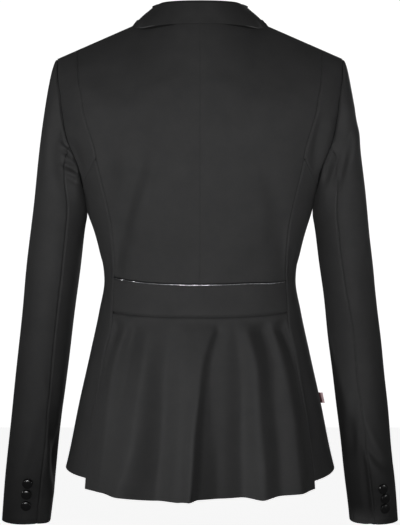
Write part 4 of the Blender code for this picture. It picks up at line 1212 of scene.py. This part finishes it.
# ---------------------------------------------------------------- buttons
def turned(outline, turns):
    """Button mesh turned from its outline."""
    verts, faces = [], []
    rings = []
    for rad, h in outline:
        if rad == 0:
            rings.append([len(verts)])
            verts.append((0, 0, h * MM))
        else:
            rings.append([len(verts) + k for k in range(turns)])
            verts += [(rad * MM * math.cos(2 * math.pi * k / turns), rad * MM * math.sin(2 * math.pi * k / turns), h * MM) for k in range(turns)]
    for lo, hi in zip(rings, rings[1:]):
        for k in range(turns):
            m = (k + 1) % turns
            if len(lo) == 1:
                faces.append((lo[0], hi[m], hi[k]))
            elif len(hi) == 1:
                faces.append((lo[k], lo[m], hi[0]))
            else:
                faces.append((lo[k], lo[m], hi[m], hi[k]))
    return verts, faces


R = BUTTON_D / 2
DOME = [(0, 0.0), (R * 0.80, 0.0), (R * 0.93, 0.35), (R * 0.99, 0.9), (R, 1.3), (R * 0.985, 1.75), (R * 0.94, 2.2)]
DOME += [(R * 0.94 * math.cos(a), 2.2 + 1.45 * math.sin(a)) for a in np.linspace(0.18, math.pi / 2 - 0.12, 9)] + [(0, 3.65)]


def button(name, centre, normal):
    verts, faces = turned(DOME, 40)
    o = new_object(name + "_polished", verts, faces, GLOSS)
    z = Vector(normal).normalized()
    x = Vector((0, 0, 1)).cross(z).normalized()
    y = z.cross(x)
    o.matrix_world = Matrix.Translation(Vector(centre)) @ Matrix((x, y, z)).transposed().to_4x4()
    o.data.transform(o.matrix_world)
    o.matrix_world = Matrix.Identity(4)
    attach(o, "root")
    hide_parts(name)


for i, z in enumerate(FRONT_BUTTONS):
    p = on_body(np.array([0.0]), np.array([z * MM]), True, -0.9 * MM)[0]
    hi = on_body(np.array([0.0]), np.array([z * MM + 0.005]), True)[0]
    lo = on_body(np.array([0.0]), np.array([z * MM - 0.005]), True)[0]
    button(f"front_button_{i + 1}", p, (0.0, 1.0, -(hi[1] - lo[1]) / 0.01))

for side in (1, -1):
    for i, (z, a) in enumerate(CUFF_BUTTONS[side]):
        a = math.radians(a)

        def on_sleeve(zz, aa, w=0.0):
            return sleeve_ring(np.array([zz]), np.array([aa]), w)[0]

        p = on_sleeve(z * MM, a, -1.9 * MM)
        du = on_sleeve(z * MM, a + 0.02) - on_sleeve(z * MM, a - 0.02)
        dz = on_sleeve(z * MM + 0.005, a) - on_sleeve(z * MM - 0.005, a)
        nrm = np.cross(dz, du)
        nrm = -nrm if nrm[1] > 0 else nrm
        nrm = unit(unit(nrm) + np.array([0.0, -0.3, 0.0]))
        flip = np.array([side, 1, 1])
        button(f"cuff_button_{side_name[side]}_{i + 1}", p * flip, nrm * flip)


# ---------------------------------------------------------------- tab
def tab():
    """Small tape folded in two and caught in the right side seam, left plain."""
    seam = [body(np.array([SIDE_SEAM]), np.array([z]))[0] for z in (-0.5235, -0.5090)]
    bend = [(0.3 + 5.4 * r, -0.32) for r in np.linspace(0, 1, 12)]
    bend += [(5.7 + 0.32 * math.cos(a), 0.32 * math.sin(a)) for a in np.linspace(-1.2, 1.2, 7)]
    bend += [(5.7 - 5.4 * r, 0.32) for r in np.linspace(0, 1, 12)]
    up = np.linspace(0, 1, 24)
    grid = np.empty((len(up), len(bend), 3))
    for i, q in enumerate(up):
        foot = seam[0] + (seam[1] - seam[0]) * q
        for j, (reach, off) in enumerate(bend):
            wave = 0.03 * reach * math.sin(3.0 * q + 0.4)
            grid[i, j] = foot + np.array([reach, off + wave - reach * 0.25, 0.02 * reach * (q - 0.5)]) * MM
    n = unit(np.cross(np.gradient(grid, axis=0), np.gradient(grid, axis=1)))
    n = -n if n[5, 3, 1] > 0 else n
    o = shell("side_tab_tape", grid, n, TAPE, 0.3 * MM)
    layer = o.data.uv_layers["flat"].data
    uv = np.empty(len(layer) * 2, dtype=np.float32)
    layer.foreach_get("uv", uv)
    layer.foreach_set("uv", uv / lengths(grid, 1)[0, -1])
    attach(o, "root")
    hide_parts("side_tab")


tab()

# ---------------------------------------------------------------- studio
scene = bpy.context.scene
scene.view_settings.view_transform = "Standard"
scene.view_settings.look = "None"


def stage_material(name, colour, glow=0.0):
    m, tree, shader = nodes_of(name)
    shader.inputs["Base Color"].default_value = (*colour, 1)
    shader.inputs["Roughness"].default_value = 0.95
    shader.inputs["Specular IOR Level"].default_value = 0.1
    shader.inputs["Emission Color"].default_value = (1, 1, 1, 1)
    shader.inputs["Emission Strength"].default_value = glow
    return m


def floor():
    """Plain pale floor, as far under the jacket as it is when worn."""
    steps = np.linspace(-6.0, 6.0, 9)
    verts = [(x, y, -1.40) for y in steps for x in steps]
    faces = [(r * 9 + c, r * 9 + c + 1, r * 9 + c + 10, r * 9 + c + 9) for r in range(8) for c in range(8)]
    o = new_object("studio_floor", verts, faces, stage_material("pale_floor", (0.85, 0.85, 0.85), 0.85))
    o.visible_diffuse = False
    o.visible_glossy = False


floor()


def area_light(name, where, aim, size, power, spread=180.0):
    """Soft box, with a grid on it where its spread is narrow."""
    d = bpy.data.lights.new(name, "AREA")
    d.shape = "SQUARE"
    d.size = size
    d.energy = power
    d.spread = math.radians(spread)
    o = bpy.data.objects.new(name, d)
    scene.collection.objects.link(o)
    o.location = where
    o.rotation_euler = (Vector(aim) - Vector(where)).to_track_quat("-Z", "Y").to_euler()
    o.visible_camera = False


area_light("key_left", (-0.50, -2.6, -0.45), (-0.16, 0.0, -0.16), 0.6, 1.00, 28.5)
area_light("key_right", (0.0, -2.6, -0.45), (0.15, 0.0, -0.17), 0.6, 0.88, 28)
area_light("skirt", (-1.78, -1.63, -0.10), (0.04, -0.1, -0.615), 0.3, 0.22, 11.3)
area_light("skirt_right", (1.9, -1.7, -0.35), (0.10, -0.12, -0.610), 0.3, 0.045, 10.0)
area_light("sleeve_left", (-2.0, -1.8, -0.15), (-0.27, 0.0, -0.20), 0.3, 0.09, 11)
area_light("sleeve_right", (2.0, -1.8, -0.15), (0.28, 0.0, -0.20), 0.3, 0.07, 10.5)
area_light("fill", (1.9, -1.7, -0.35), (0.0, 0.0, -0.38), 1.0, 0.25, 60)
area_light("front_side", (0.9, 2.8, 0.4), (0.0, 0.0, -0.3), 0.8, 24)

world = bpy.data.worlds.new("studio")
scene.world = world
world.use_nodes = True
tree = world.node_tree
tree.nodes["Background"].inputs["Color"].default_value = (1, 1, 1, 1)
tree.nodes["Background"].inputs["Strength"].default_value = 0.09
seen = add(tree, "ShaderNodeBackground", Strength=1.05)
seen.inputs["Color"].default_value = (1, 1, 1, 1)
path = tree.nodes.new("ShaderNodeLightPath")
mix = tree.nodes.new("ShaderNodeMixShader")
tree.links.new(path.outputs["Is Camera Ray"], mix.inputs[0])
tree.links.new(tree.nodes["Background"].outputs[0], mix.inputs[1])
tree.links.new(seen.outputs[0], mix.inputs[2])
tree.links.new(mix.outputs[0], tree.nodes["World Output"].inputs["Surface"])

cam = bpy.data.cameras.new("camera")
cam.lens = 117.5
cam.sensor_width = 36.0
cam.clip_end = 50
camera = bpy.data.objects.new("camera", cam)
scene.collection.objects.link(camera)
camera.location = (0.0, -2.4, -0.22)
camera.rotation_euler = (Vector((0, 0, -0.325)) - camera.location).to_track_quat("-Z", "Y").to_euler()
scene.camera = camera

bpy.context.view_layer.update()
